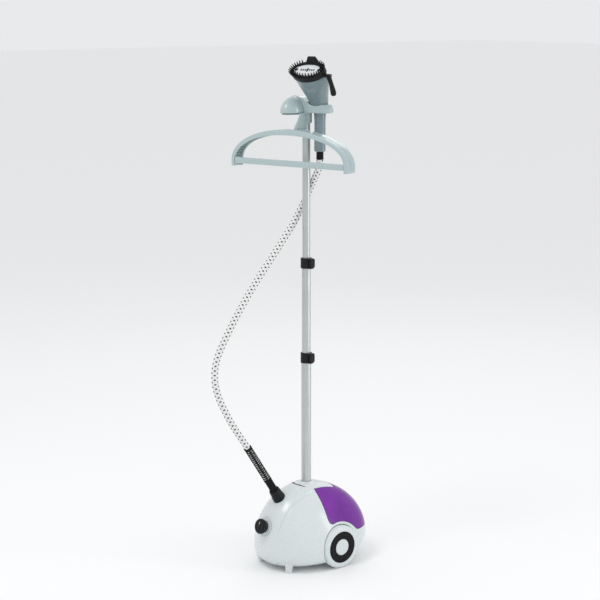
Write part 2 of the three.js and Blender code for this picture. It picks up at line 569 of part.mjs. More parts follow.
function buildHandset(parent) {
  const last = HANDSET_SECTIONS.length;
  const { half, depth, rim: rimLength } = MOUTH;
  const mouth = mouthMatrix().elements;
  const whole = handsetSolid(0, 0, last);
  const room = handsetSolid(2.6, 1, last);
  const beyondMouth = box([-90, -80, -rimLength + 0.1], [90, 80, 60]).transform(mouth);
  const openMouth = mouthDisc(half - 3.9, depth - 3.2, -rimLength - 1, -rimLength + 2).transform(mouth);
  const cuffHole = rod(6, 1180, 1200, { sides: 20 });
  const skin = cut(whole, room, openMouth, cuffHole, beyondMouth);
  const frontHalf = box([-100, -140, 1100], [100, -GAP / 2, 1500]);
  const rearHalf = box([-100, GAP / 2, 1100], [100, 80, 1500]);
  add('handset_front', skin.intersect(frontHalf), DARK_BLUE(), parent);
  add('handset_rear', skin.intersect(rearHalf), DARK_BLUE(), parent);
  const cuff = [[0, 1166], [9.4, 1166], [10, 1168], [10, 1188.7], [0, 1188.7]];
  add('handset_cuff', turned(cuff, 28), RUBBER(), parent);
  const steamRun = [[0, 0, 1189], [0, 0, 1290], [0, -7, 1340], [0, -30, 1378], [0, -41, 1393]];
  add('handset_tube', swept(steamRun, 4.5, { steps: 20 }), RUBBER(), parent);

  const holes = [-20, -10, 0, 10, 20].map((x) => rod(x === 0 ? 2.6 : 2, -20, 20, { x, sides: 12 }));
  const plateSolid = cut(mouthDisc(STEAM_PLATE.half, STEAM_PLATE.depth, -4, -1, 1), ...holes);
  add('steam_plate', plateSolid.transform(mouth), ALUMINIUM(), parent);
  const gasket = cut(mouthDisc(half - 6.5, depth - 6.5, -rimLength + 2.3, -12),
    mouthDisc(STEAM_PLATE.half - 2, STEAM_PLATE.depth - 1, -30, 30));
  add('plate_gasket', gasket.transform(mouth), RUBBER(), parent);

  // Brush frame: a rim round the mouth, a tab over it and two ears for the press lever's pin.
  const rim = cut(mouthDisc(half, depth, -rimLength + 0.4, 0, 1.5),
    mouthDisc(half - 5, depth - 5.5, -30, -rimLength + 5),
    mouthDisc(STEAM_PLATE.half + 1, STEAM_PLATE.depth + 1, -30, 30));
  const tabLevels = [[-8, 20, 26.3, 34.3], [2, 18.5, 25.8, 37.3], [12, 12.5, 36.3, 40.3]];
  const tab = loft(tabLevels.map(([z, wide, near, far]) =>
    [[-wide, near], [wide, near], [wide, far], [-wide, far]].map(([x, y]) => new THREE.Vector3(x, y, z))));
  const earFrom = LEVER.front - GAP - LEVER.ear;
  const earTo = LEVER.rear + 2 * GAP + LEVER.ear + 2;
  const ears = [
    box([49, earFrom, LEVER.z - 4], [LEVER.x + 3.5, earFrom + LEVER.ear, LEVER.z + 6]),
    box([49, earTo - LEVER.ear, LEVER.z - 4], [LEVER.x + 3.5, earTo, LEVER.z + 12]),
  ];
  const pinHole = leverPin(1.7, -80, -30);
  const frame = cut(join(join(rim, tab).transform(mouth), ...ears), pinHole, handsetSolid(-GAP, 0, last));
  add('brush_frame', frame, BLACK(), parent);

  const ring = cut(mouthDisc(half - 3, depth - 6, GAP, 2.3),
    mouthDisc(STEAM_PLATE.half + 1.5, STEAM_PLATE.depth + 3, -10, 10));
  const pegs = [];
  for (let i = 0; i < BRISTLES; i += 1) {
    const a = (i / BRISTLES) * Math.PI * 2;
    const [x, y] = [(half - 4.7) * Math.cos(a), (depth - 7.9) * Math.sin(a)];
    const underTab = Math.abs(a - Math.PI / 2) < 0.43;
    if (!underTab) pegs.push(rod(1.2, 1.5, 13, { x, y, topRadius: 0.7, sides: 4 }));
  }
  const tabRoom = box([-20.4, 24.3, -1], [20.4, 38.3, 13]);
  add('brush_bristles', cut(join(ring, ...pegs), tab, tabRoom).transform(mouth), BLACK(), parent);

  const leverLine = [[61.5, 1400], [62.5, 1405], [65.5, 1406.5], [69, 1403], [77.5, 1382], [87.2, 1360],
    [88.4, 1353], [85.5, 1347.5], [79.5, 1346.5], [76.2, 1350], [74.2, 1362], [70.5, 1380],
    [65.5, 1392]];
  const lever = cut(plate(leverLine, LEVER.front, LEVER.rear, 'front'), pinHole);
  add('brush_lever', lever, BLACK(), parent);
  add('lever_pin', leverPin(1.35, earFrom + 0.2, earTo - 0.2), STEEL(), parent);
  const coil = cut(leverPin(3.2, LEVER.rear + GAP, LEVER.rear + GAP + 2), leverPin(1.8, -80, -30));
  add('lever_spring', coil, STEEL(), parent);
}

// Rod on the brush lever's pivot, between two y values.
function leverPin(radius, from, to) {
  const geometry = new THREE.CylinderGeometry(radius, radius, to - from, 16);
  geometry.translate(LEVER.x, (from + to) / 2, LEVER.z);
  return solid(geometry);
}

// ---------------------------------------------------------------- steam hose
function buildHose() {
  const socket = [[6, -34], [13, -34], [13, -22], [17, -22], [17, -0.6], [13.4, -0.6], [13.4, -10],
    [6, -10], [6, -34]];
  add('hose_socket', hoseAxisPiece(socket), BLACK());
  const cuff = [[0, -9.6], [13, -9.6], [13, 0], [18.5, 0], [18.5, 14], [15, 39], [0, 39]];
  add('hose_cuff', hoseAxisPiece(cuff), BLACK());
  add('hose_sleeve', hoseAxisPiece([[0, 39.3], [11, 39.3], [11, 76], [10.4, 77], [0, 77]]), BLACK());
  const net = [[0, NET.from], [NET.radius, NET.from], [NET.radius, NET.to], [0, NET.to]];
  add('hose_net', hoseAxisPiece(net, 16), BLACK());
  const free = swept(HOSE_ROUTE, HOSE_RADIUS, { steps: 44, sides: 10 });
  add('steam_hose', free, material(0xd9d9d6, 0.6));
}

// ---------------------------------------------------------------- assembly
buildBase();
buildTank();
buildBoiler();
buildControls();
buildWheels();
buildFeet();
buildPole();

const head = new THREE.Group();
head.rotation.z = HEAD_TURN;
machine.add(head);
buildClamp('clamp_lower', CLAMP.lowerZ, POLE.lower.outer, POLE.middle.outer, head);
buildClamp('clamp_upper', CLAMP.upperZ, POLE.middle.outer, POLE.upper.outer, head);
buildHead(head);
buildHanger(head);

const handset = new THREE.Group();
handset.position.set(FORK.x, FORK.y, 0);
head.add(handset);
buildHandset(handset);
buildHose();

const group = machine;
export default group;
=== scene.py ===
import json
import math

import bmesh
import bpy
import numpy as np
from mathutils import Matrix, Vector


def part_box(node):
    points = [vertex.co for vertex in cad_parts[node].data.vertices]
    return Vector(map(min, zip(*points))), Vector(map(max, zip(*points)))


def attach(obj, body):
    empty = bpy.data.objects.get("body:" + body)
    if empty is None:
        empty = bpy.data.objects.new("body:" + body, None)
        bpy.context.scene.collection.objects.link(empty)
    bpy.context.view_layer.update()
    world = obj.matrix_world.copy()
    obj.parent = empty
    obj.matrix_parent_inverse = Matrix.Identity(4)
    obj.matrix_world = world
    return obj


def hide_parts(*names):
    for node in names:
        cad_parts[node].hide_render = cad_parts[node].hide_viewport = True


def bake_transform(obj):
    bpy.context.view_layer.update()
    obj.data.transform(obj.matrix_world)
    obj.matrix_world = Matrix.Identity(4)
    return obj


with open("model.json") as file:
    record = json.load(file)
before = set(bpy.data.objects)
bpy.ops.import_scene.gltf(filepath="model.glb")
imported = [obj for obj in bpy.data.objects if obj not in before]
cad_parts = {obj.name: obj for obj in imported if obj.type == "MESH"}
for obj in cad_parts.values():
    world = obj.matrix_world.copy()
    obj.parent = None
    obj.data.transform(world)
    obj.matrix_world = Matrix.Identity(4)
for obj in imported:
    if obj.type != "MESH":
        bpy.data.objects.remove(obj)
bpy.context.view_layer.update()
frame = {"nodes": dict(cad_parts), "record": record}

# ---------------- sizes, in millimetres
MM = 0.001
BASE = {"bottom": 17, "top": 230, "seam": 24, "wall": 3}
FRONT = {"size": 159, "belly": 75, "rise": 160, "power": 2, "tuck": 0.35, "bend": 3.9}
REAR = {"size": 180, "belly": 85, "rise": 147, "power": 1.95, "tuck": 0.82, "bend": 2.8}
SIDE = {"size": 129, "belly": 60, "rise": 176, "power": 1.7, "tuck": 1, "bend": 5}
BELT = 75                 # the body's rings are evenly spaced below it, closer towards the top
FRONT_POWER, REAR_POWER = 2.1, 2.7  # how square the body's outline is in front and behind
# The raised panel down the front ends in a soft step, the crease, with a shallow groove beside it.
# Its lift fades in over a height, and over a distance in front of the pole's axis.
CREASE = {"x": 48, "lift": 3.4, "soft": 1.0, "groove": 1.6, "groove_out": 1.6, "groove_width": 1.3,
          "fade_height": (84, 150), "fade_ahead": (2, 14)}
CROWDING = {"share": 0.72, "reach": 0.16}   # how the outline's points draw together at the crease
UPWARD = {"height": (90, 225), "side_loss": 0.7, "rise": 0.8}   # the lift turns upwards on the dome
POLE_STEP = {"radius": 29, "lift": 4.2, "soft": 1.5}
SLOT = {"radius": 39.5, "width": 6, "half_angle": 50, "floor": 214, "shade_sheet_floor": 222, "sunk": 0.8}
WHEEL = {"radius": 62, "y": 28, "z": 62, "inner": 106, "outer": 131, "ring_out": 45.5, "ring_in": 24}
ARCH_RADIUS = 64.5
TANK = {"front": -5, "lobe": 130, "arch_y": 30, "arch_z": 54, "arch_r": 79, "floor": 97,
        "core": 41, "core_rear": 72, "wall": 2.4}
HEAD_TURN = 15            # degrees that the head is turned round the pole
HEAD = {"floor": 1296, "height": 45, "reach": 55, "half": 31.5, "x": -29.5, "rim": -15}
FORK = {"x": 37.5, "y": 12.5, "top": 1320, "clear": 1.2}
HANGER = {"half": 199, "front": -88, "rear": -47, "spring": 1160, "tip": 1143, "rise": 93, "power": 2.05,
          "window_power": 2.2, "side": 12, "crown": 15.5, "bar_low": 1151.5, "bar_high": 1168.5}
GLAND = (-60, 176, 58)
KNOB = {"place": (0, -151.5, 127), "lean": 75}
TUBES = {
    "lower": {"body": "base", "outer": 14, "inner": 13, "low": 120, "high": 598},
    "middle": {"body": "middle", "outer": 12.5, "inner": 11.6, "low": 426, "high": 871},
    "upper": {"body": "upper", "outer": 11, "inner": 10.1, "low": 712, "high": 1290},
}
CLAMP = {"height": 29, "ring": 16.2, "lower": 585, "upper": 858, "pin_x": 20.4, "pin_y": -8, "pin": 1.7}
MOUTH = {"y": -59.5, "z": 1416, "half": 54.5, "depth": 33.3, "rim": 16, "lean": 45}
STEAM_PLATE = {"half": 46.5, "depth": 20.5}
BRISTLE = {"foot": 2.2, "tip": 1.4}
TAB_GAP = 0.43            # half the angle, seen from the mouth's middle, kept free for the tab
LEVER = {"x": 65.3, "z": 1401, "front": -55.5, "rear": -45.5, "ear": 2.2}
FOOT = {"x": 66, "y": -116}
HOSE_RADIUS = 9.5
HOSE_STEP = 1.25          # between the rings of the hose's skin
HOSE_LEAN = 33.8          # degrees off upright where the hose leaves the body
HOSE_EXIT = (0, -97, 198)
NET = {"start": 77.3, "end": 207, "radius": 11.0, "pitch": 6.6, "strand": 2.0, "thick": 0.75,
       "spine_at": -0.45}
FLECK_PITCH = 12.5        # along the hose
FLECK_COLUMNS = 3         # pairs of columns round it
# The free hose's centreline, the same points as the CAD model's, round the pole's axis.
HOSE_ROUTE = [
    (0, -212.9, 371.1), (-1.5, -225.5, 390), (-7, -241, 415), (-16, -261, 453), (-27, -276, 491),
    (-36, -285, 521), (-43, -289, 551), (-48, -288, 582), (-51, -281, 611), (-52, -269, 639),
    (-51, -248, 677), (-50, -216, 727), (-48, -179, 780), (-46, -139, 832), (-43, -98, 882),
    (-39, -53, 938), (-34, -16, 988), (-30, 1, 1019), (-24, 12, 1044), (-15, 19, 1069),
    (-3, 22.4, 1093), (11, 23.2, 1115), (23, 22.8, 1133), (30.5, 22, 1147), (33, 21.8, 1158),
    (33, 21.8, 1165.6),
]
# The hose's pieces: the bodies below and above, and the heights in metres over which it passes between.
BENDS = {
    "hose_lower": ("base", "middle", (0.372, 0.69)),
    "hose_middle": ("middle", "upper", (0.69, 1.04)),
    "hose_upper": ("upper", "handset", (1.045, 1.16)),
}

# ---------------- places
pole_low, pole_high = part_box("pole_lower")
pole = (pole_low + pole_high) / 2
MACHINE = Matrix.Translation((pole.x, pole.y, 0)) @ Matrix.Scale(MM, 4)
HEAD_FRAME = MACHINE @ Matrix.Rotation(math.radians(HEAD_TURN), 4, "Z")
HANDSET_FRAME = HEAD_FRAME @ Matrix.Translation((FORK["x"], FORK["y"], 0))
MOUTH_FRAME = (HANDSET_FRAME @ Matrix.Translation((0, MOUTH["y"], MOUTH["z"]))
               @ Matrix.Rotation(math.radians(MOUTH["lean"]), 4, "X"))
KNOB_FRAME = (MACHINE @ Matrix.Translation(KNOB["place"])
              @ Matrix.Rotation(math.radians(KNOB["lean"]), 4, "X"))
HOSE_FRAME = MACHINE @ Matrix.Translation(HOSE_EXIT) @ Matrix.Rotation(math.radians(HOSE_LEAN), 4, "X")

scene = bpy.context.scene


def placed(name, data):
    """A new object in the scene."""
    made = bpy.data.objects.new(name, data)
    scene.collection.objects.link(made)
    return made


# ---------------- camera
CAMERA = {"lens": 101.04, "from_pole": (3.6526, -2.9578), "height": 1.62, "pitch": 79.7, "turn": 51.218}


def make_camera():
    data = bpy.data.cameras.new("camera")
    data.lens = CAMERA["lens"]
    data.sensor_width = 36
    data.clip_end = 60
    camera = placed("camera", data)
    camera.location = (pole.x + CAMERA["from_pole"][0], pole.y + CAMERA["from_pole"][1], CAMERA["height"])
    camera.rotation_euler = (math.radians(CAMERA["pitch"]), 0, math.radians(CAMERA["turn"]))
    scene.camera = camera
    scene.view_settings.view_transform = "Standard"


make_camera()


# ---------------- materials
def nodes_of(name):
    made = bpy.data.materials.new(name)
    made.use_nodes = True
    tree = made.node_tree
    shader = tree.nodes["Principled BSDF"]
    coordinates = tree.nodes.new("ShaderNodeTexCoord").outputs["Object"]
    return made, tree, shader, coordinates


def feed(node, values):
    for name, value in values.items():
        node.inputs[name].default_value = value


def noise(tree, coordinates, scale, detail=3, stretch=None):
    if stretch:
        mapping = tree.nodes.new("ShaderNodeMapping")
        mapping.inputs["Scale"].default_value = stretch
        tree.links.new(coordinates, mapping.inputs["Vector"])
        coordinates = mapping.outputs["Vector"]
    texture = tree.nodes.new("ShaderNodeTexNoise")
    feed(texture, {"Scale": scale, "Detail": detail})
    tree.links.new(coordinates, texture.inputs["Vector"])
    return texture.outputs["Fac"]


def paint(tree, shader, factor, stops):
    """The base colour, from a ramp of (place, colour) stops."""
    node = tree.nodes.new("ShaderNodeValToRGB")
    elements = node.color_ramp.elements
    while len(elements) < len(stops):
        elements.new(0.5)
    for element, (place, colour) in zip(elements, stops):
        element.position = place
        element.color = (*colour, 1)
    tree.links.new(factor, node.inputs["Fac"])
    tree.links.new(node.outputs["Color"], shader.inputs["Base Color"])


def roughen(tree, shader, factor, low, high):
    node = tree.nodes.new("ShaderNodeMapRange")
    feed(node, {"From Min": 0.3, "From Max": 0.7, "To Min": low, "To Max": high})
    tree.links.new(factor, node.inputs["Value"])
    tree.links.new(node.outputs["Result"], shader.inputs["Roughness"])


def bump(tree, shader, height, strength, distance):
    node = tree.nodes.new("ShaderNodeBump")
    feed(node, {"Strength": strength, "Distance": distance})
    tree.links.new(height, node.inputs["Height"])
    tree.links.new(node.outputs["Normal"], shader.inputs["Normal"])


def shade(colour, amount):
    return tuple(min(1, part * amount) for part in colour)


def plastic(name, colour, roughness, coat=0.0, texture=900, strength=0.08, variety=0.04, specular=0.5):
    """Moulded plastic: faint cloudiness in its colour, an even fine moulding texture and uneven gloss."""
    made, tree, shader, place = nodes_of(name)
    cloud = noise(tree, place, 28, 4)
    stops = [(0.35, shade(colour, 1 - variety)), (0.65, shade(colour, 1 + variety / 2))]
    paint(tree, shader, cloud, stops)
    roughen(tree, shader, noise(tree, place, 140, 4), roughness * 0.85, roughness * 1.2)
    bump(tree, shader, noise(tree, place, texture, 2), strength, 0.00012)
    feed(shader, {"Coat Weight": coat, "Coat Roughness": 0.12, "IOR": 1.47, "Specular IOR Level": specular})
    return made


def metal(name, colour, roughness, stretch=None, strength=0.15, texture=500):
    made, tree, shader, place = nodes_of(name)
    cloud = noise(tree, place, 22, 4)
    paint(tree, shader, cloud, [(0.3, shade(colour, 0.93)), (0.7, colour)])
    lines = noise(tree, place, texture, 3, stretch)
    roughen(tree, shader, lines, roughness * 0.8, roughness * 1.25)
    bump(tree, shader, lines, strength, 0.00005)
    feed(shader, {"Metallic": 1})
    return made


def tank_plastic():
    """Tinted see-through plastic, a little cloudy, over the pale bay behind it."""
    made, tree, shader, place = nodes_of("tank_plastic")
    cloud = noise(tree, place, 14, 3)
    paint(tree, shader, cloud, [(0.3, (0.16, 0.022, 0.29)), (0.7, (0.235, 0.034, 0.40))])
    roughen(tree, shader, noise(tree, place, 160, 3), 0.16, 0.26)
    bump(tree, shader, noise(tree, place, 500, 2), 0.05, 0.0001)
    feed(shader, {"Transmission Weight": 0.12, "IOR": 1.49, "Specular IOR Level": 0.2, "Coat Weight": 0.15})
    return made


def braid_fabric():
    """White braid with a dark fleck where its strands cross; the flecks' places come from the mesh."""
    made, tree, shader, place = nodes_of("braid_fabric")
    flecks = tree.nodes.new("ShaderNodeAttribute")
    flecks.attribute_name = "fleck"
    fuzz = noise(tree, place, 1600, 4)
    mixed = tree.nodes.new("ShaderNodeMath")
    mixed.operation = "MULTIPLY_ADD"
    mixed.inputs[1].default_value = 0.16
    tree.links.new(fuzz, mixed.inputs[0])
    tree.links.new(flecks.outputs["Fac"], mixed.inputs[2])
    white, dark = (0.86, 0.87, 0.86), (0.045, 0.05, 0.055)
    stops = [(0.0, (0.78, 0.79, 0.78)), (0.44, white), (0.54, (0.40, 0.41, 0.42)), (0.62, dark)]
    paint(tree, shader, mixed.outputs["Value"], stops)
    feed(shader, {"Roughness": 0.75, "Sheen Weight": 0.2})
    bump(tree, shader, fuzz, 0.5, 0.0003)
    return made


LOOKS = {
    "white_shell": plastic("shell_plastic", (0.665, 0.715, 0.724), 0.26,
                           coat=0.3, strength=0.02, variety=0.008),
    "tank_purple": tank_plastic(),
    "grey_blue": plastic("head_plastic", (0.405, 0.50, 0.512), 0.26,
                         coat=0.6, strength=0.03, variety=0.012),
    "dark_grey_blue": plastic("handset_plastic", (0.165, 0.23, 0.252), 0.26,
                              coat=0.8, strength=0.03, variety=0.012),
    "black_plastic": plastic("black_plastic", (0.009, 0.0095, 0.0105), 0.42, strength=0.15, specular=0.22),
    "black_rubber": plastic("black_rubber", (0.008, 0.008, 0.009), 0.62,
                            texture=1400, strength=0.3, specular=0.18),
    "pole_tube": metal("pole_tube", (0.55, 0.585, 0.575), 0.36, (1, 1, 0.02), texture=900),
    "bright_steel": metal("bright_steel", (0.55, 0.55, 0.56), 0.3),
    "cast_alloy": metal("cast_alloy", (0.5, 0.5, 0.51), 0.55, strength=0.5, texture=260),
    "steam_plate": plastic("plate_plastic", (0.70, 0.72, 0.74), 0.32, texture=600),
    "hose_braid": braid_fabric(),
    "pipe_rubber": plastic("pipe_silicone", (0.42, 0.09, 0.05), 0.5),
}
# Near-black plastic for the sheet in the slot: painted shade for the slot's recess.
SLOT_SHADE_LOOK = plastic("slot_painted_shade", (0.03, 0.032, 0.034), 0.6, specular=0.2)


# ---------------- shapes, in millimetres
def closed_mesh(points, faces):
    """A mesh with its faces turned outwards."""
    mesh = bpy.data.meshes.new("made")
    mesh.from_pydata([tuple(map(float, p)) for p in points], [], faces)
    work = bmesh.new()
    work.from_mesh(mesh)
    inside_out = work.calc_volume(signed=True) < 0
    if inside_out:
        bmesh.ops.reverse_faces(work, faces=work.faces)
        work.to_mesh(mesh)
    work.free()
    return mesh


def turns(sides):
    """The angles of a full turn, in equal steps."""
    return [2 * math.pi * j / sides for j in range(sides)]


def turn_steps(count):
    return np.linspace(0, 2 * math.pi, count, endpoint=False)


def unit(rows):
    return rows / np.linalg.norm(rows, axis=1)[:, None]


def hermite(t, start, start_slope, end, end_slope):
    """The point a share t along a smooth span between two points with given slopes."""
    return ((2 * t**3 - 3 * t**2 + 1) * start + (t**3 - 2 * t**2 + t) * start_slope
            + (3 * t**2 - 2 * t**3) * end + (t**3 - t**2) * end_slope)


def loft(rings, wrap=False):
    """A skin over rings of points; the ends are capped, or joined to each other when wrap is set."""
    rings = np.asarray(rings, float)
    count, sides = rings.shape[:2]
    faces = []
    for i in range(count if wrap else count - 1):
        here, there = i * sides, ((i + 1) % count) * sides
        for j in range(sides):
            k = (j + 1) % sides
            faces.append((here + j, here + k, there + k, there + j))
    if not wrap:
        faces.append(tuple(range(sides))[::-1])
        faces.append(tuple((count - 1) * sides + j for j in range(sides)))
    return closed_mesh(rings.reshape(-1, 3), faces)


def fillet(corners, radius, steps=4, closed=True):
    """The outline with each corner rounded, as far as its edges allow."""
    corners = [np.array(c, float) for c in corners]
    made = []
    for i, corner in enumerate(corners):
        if not closed and i in (0, len(corners) - 1):
            made.append(corner)
            continue
        before, after = corners[i - 1] - corner, corners[(i + 1) % len(corners)] - corner
        room = 0.45 * min(np.linalg.norm(before), np.linalg.norm(after))
        u, v = before / np.linalg.norm(before), after / np.linalg.norm(after)
        half = 0.5 * math.acos(max(-1.0, min(1.0, float(u @ v))))
        if half > 1.5:
            made.append(corner)
            continue
        reach = min(room, radius / math.tan(half))
        start, end = corner + u * reach, corner + v * reach
        for step in range(steps + 1):
            t = step / steps
            made.append((1 - t) ** 2 * start + 2 * t * (1 - t) * corner + t * t * end)
    return made


def turned(profile, sides=64, rounding=0.6, ripple=None):
    """A turned piece from a closed profile of (radius, height) corners; a radius of 0 is on the axis."""
    on_axis = [r <= 0 for r, _ in profile]
    if any(on_axis):
        inner = [p for p, axis in zip(profile, on_axis) if not axis]
        ends = [p for p, axis in zip(profile, on_axis) if axis]
        line = fillet([ends[0], *inner, ends[-1]], rounding, closed=False)[1:-1]
    else:
        line = fillet(profile, rounding)
    rings = []
    for radius, height in line:
        ring = []
        for angle in turns(sides):
            grown = radius + (ripple(radius, height, angle) if ripple else 0)
            ring.append((grown * math.cos(angle), grown * math.sin(angle), height))
        rings.append(ring)
    return loft(rings, wrap=not any(on_axis))


def prism(outline, start, end, view):
    """A flat outline pushed from one depth to another: plan along Z, front along Y, side along X."""
    turn = {"plan": lambda a, b, c: (a, b, c), "front": lambda a, b, c: (a, c, b),
            "side": lambda a, b, c: (c, a, b)}[view]
    return loft([[turn(a, b, depth) for a, b in outline] for depth in (start, end)])


def block(low, high):
    (x0, y0, z0), (x1, y1, z1) = low, high
    return prism([(x0, y0), (x1, y0), (x1, y1), (x0, y1)], z0, z1, "plan")


def rod(radius, low, high, x=0, y=0, sides=48):
    return loft([[(x + radius * math.cos(a), y + radius * math.sin(a), z) for a in turns(sides)]
                 for z in (low, high)])


def cross_rod(radius, start, end, y, z, sides=96):
    """A rod along X."""
    return loft([[(x, y + radius * math.cos(a), z + radius * math.sin(a)) for a in turns(sides)]
                 for x in (start, end)])


def ellipse(x, y, z, half, depth, tilt=0.0, sides=96):
    ring = []
    for angle in turns(sides):
        along = depth * math.sin(angle)
        ring.append((x + half * math.cos(angle), y + along * math.cos(tilt), z + along * math.sin(tilt)))
    return ring


def moved(mesh, matrix):
    mesh.transform(matrix)
    return mesh


def applied(mesh, *steps):
    """The mesh with modifiers applied; each step is (type, settings)."""
    holder = placed("work", mesh)
    for kind, settings in steps:
        modifier = holder.modifiers.new(kind, kind)
        for key, value in settings.items():
            setattr(modifier, key, value)
    graph = bpy.context.evaluated_depsgraph_get()
    result = bpy.data.meshes.new_from_object(holder.evaluated_get(graph))
    bpy.data.objects.remove(holder)
    return result


def combined(mesh, tools, operation):
    helpers = [placed("tool", tool) for tool in tools]
    steps = [("BOOLEAN", {"operation": operation, "object": h, "solver": "MANIFOLD"}) for h in helpers]
    result = applied(mesh, *steps)
    for helper in helpers:
        bpy.data.objects.remove(helper)
    return result


def cut(mesh, *tools):
    return combined(mesh, tools, "DIFFERENCE")


def join(mesh, *tools):
    return combined(mesh, tools, "UNION")


def common(mesh, *tools):
    return combined(mesh, tools, "INTERSECT")


def softened(mesh, width, angle=40, segments=3):
    return applied(mesh, ("BEVEL", {"width": width, "segments": segments, "limit_method": "ANGLE",
                                    "angle_limit": math.radians(angle), "use_clamp_overlap": True}))


def blended(mesh, cell, smoothing, factor):
    """One smooth skin over joined solids, with soft inner corners."""
    return applied(mesh, ("REMESH", {"mode": "VOXEL", "voxel_size": cell}),
                   ("SMOOTH", {"factor": factor, "iterations": smoothing}))


def piece(name, mesh, place, slot, body, stands_for=(), sharp=34, look=None):
    """A finished piece on its body; stands_for lists the CAD nodes that it replaces."""
    mesh.transform(place)
    mesh.materials.clear()
    mesh.materials.append(look or LOOKS[slot])
    mesh.shade_smooth()
    mesh.set_sharp_from_angle(angle=math.radians(sharp))
    made = placed(name, mesh)
    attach(made, body)
    if stands_for:
        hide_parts(*stands_for)
    return made


# ---------------- steam hose
def spaced(points, step):
    """Points at even steps along a smooth curve through the given ones."""
    points = np.array(points, float)
    dense = []
    for i in range(len(points) - 1):
        p0, p1, p2 = points[max(i - 1, 0)], points[i], points[i + 1]
        p3 = points[min(i + 2, len(points) - 1)]
        d0, d1, d2 = (max(np.linalg.norm(b - a), 1e-6) ** 0.5 for a, b in ((p0, p1), (p1, p2), (p2, p3)))
        m1 = (p2 - p1) + d1 * ((p1 - p0) / d0 - (p2 - p0) / (d0 + d1)) if i > 0 else p2 - p1
        m2 = (p2 - p1) + d1 * ((p3 - p2) / d2 - (p3 - p1) / (d1 + d2)) if i < len(points) - 2 else p2 - p1
        dense += [hermite(t, p1, m1, p2, m2) for t in np.linspace(0, 1, 24, endpoint=False)]
    dense.append(points[-1])
    dense = np.array(dense)
    gone = np.r_[0, np.cumsum(np.linalg.norm(np.diff(dense, axis=0), axis=1))]
    even = np.linspace(0, gone[-1], int(gone[-1] / step) + 1)
    return np.stack([np.interp(even, gone, dense[:, axis]) for axis in range(3)], 1)


def frames_along(line):
    """A steady sideways pair of directions at each point of a line."""
    ahead = unit(np.gradient(line, axis=0))
    side = np.cross(ahead[0], (1, 0, 0.1))
    pairs = []
    for direction in ahead:
        side = side - direction * (side @ direction)
        side /= np.linalg.norm(side)
        pairs.append((side, np.cross(direction, side)))
    return pairs


def hose_axis_point(distance):
    lean = math.radians(HOSE_LEAN)
    return tuple(np.array(HOSE_EXIT) + distance * np.array((0, -math.sin(lean), math.cos(lean))))


def hose_skin(line):
    """Rings of points round the hose's line, and how much of a fleck there is at each point."""
    angles = turn_steps(48)
    points, flecks = [], []
    for i, (centre, (side, up)) in enumerate(zip(line, frames_along(line))):
        fleck = np.cos(FLECK_COLUMNS * angles) * math.cos(2 * math.pi * i * HOSE_STEP / FLECK_PITCH)
        sunk = 0.45 * np.clip((fleck - 0.45) / 0.3, 0, 1)
        weave = 0.14 * np.sin(12 * angles + i * 1.7) * np.sin(12 * angles - i * 1.7)
        radius = (HOSE_RADIUS + weave - sunk)[:, None]
        points.append(centre + radius * (np.cos(angles)[:, None] * side + np.sin(angles)[:, None] * up))
        flecks.append(fleck)
    return np.array(points), np.array(flecks)


def make_hose():
    """The hose in three lengths that join end to end, each with its path."""
    straight = [hose_axis_point(d) for d in (2, 50, 100, 150, NET["end"] - 6)]
    line = spaced([*straight, *HOSE_ROUTE], HOSE_STEP)
    points, flecks = hose_skin(line)
    heights = line[:, 2] * MM
    joins = [int(np.searchsorted(heights, BENDS[name][2][1])) for name in ("hose_lower", "hose_middle")]
    ends = [0, *joins, len(line) - 1]
    made = []
    for (name, (below, above, (start, end))), first, last in zip(BENDS.items(), ends, ends[1:]):
        mesh = loft(points[first:last + 1])
        mesh.transform(MACHINE)
        attribute = mesh.attributes.new("fleck", "FLOAT", "POINT")
        attribute.data.foreach_set("value", flecks[first:last + 1].ravel().astype(np.float32))
        mesh.materials.append(LOOKS["hose_braid"])
        mesh.shade_smooth()
        hose = placed(name, mesh)
        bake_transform(hose)
        path = [tuple(MACHINE @ Vector(p)) for p in line[first:last + 1]]
        made.append((hose, path))
    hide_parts("steam_hose")
    return made


def make_cuff():
    profile = [(0, -9.6), (13, -9.6), (13, 0), (18.5, 0), (18.5, 13), (17.6, 15.5), (15.6, 36), (14.6, 39),
               (0, 39)]
    return piece("hose_boot", turned(profile, 64, 1.2), HOSE_FRAME, "black_plastic", "base", ["hose_cuff"])


def make_sleeve():
    profile = [(0, 39.3)]
    for step in range(9):
        height = 40 + step * 4
        profile += [(11, height), (11, height + 2.6), (10.2, height + 3), (10.2, height + 3.6)]
    profile += [(10.8, 76.6), (0, 77)]
    return piece("hose_collar", turned(profile, 64, 0.3), HOSE_FRAME, "black_rubber", "base", ["hose_sleeve"])


def hoop(radius, at, thick, strand):
    """An open ring round the hose, thick outwards and as wide as strand along it."""
    rings = []
    for t in np.linspace(0, 2 * math.pi, 65)[:-1]:
        section = [(radius + thick * math.cos(a), at + strand * math.sin(a))
                   for a in turn_steps(10)]
        rings.append([(out * math.cos(t), out * math.sin(t), height) for out, height in section])
    return loft(rings, wrap=True)


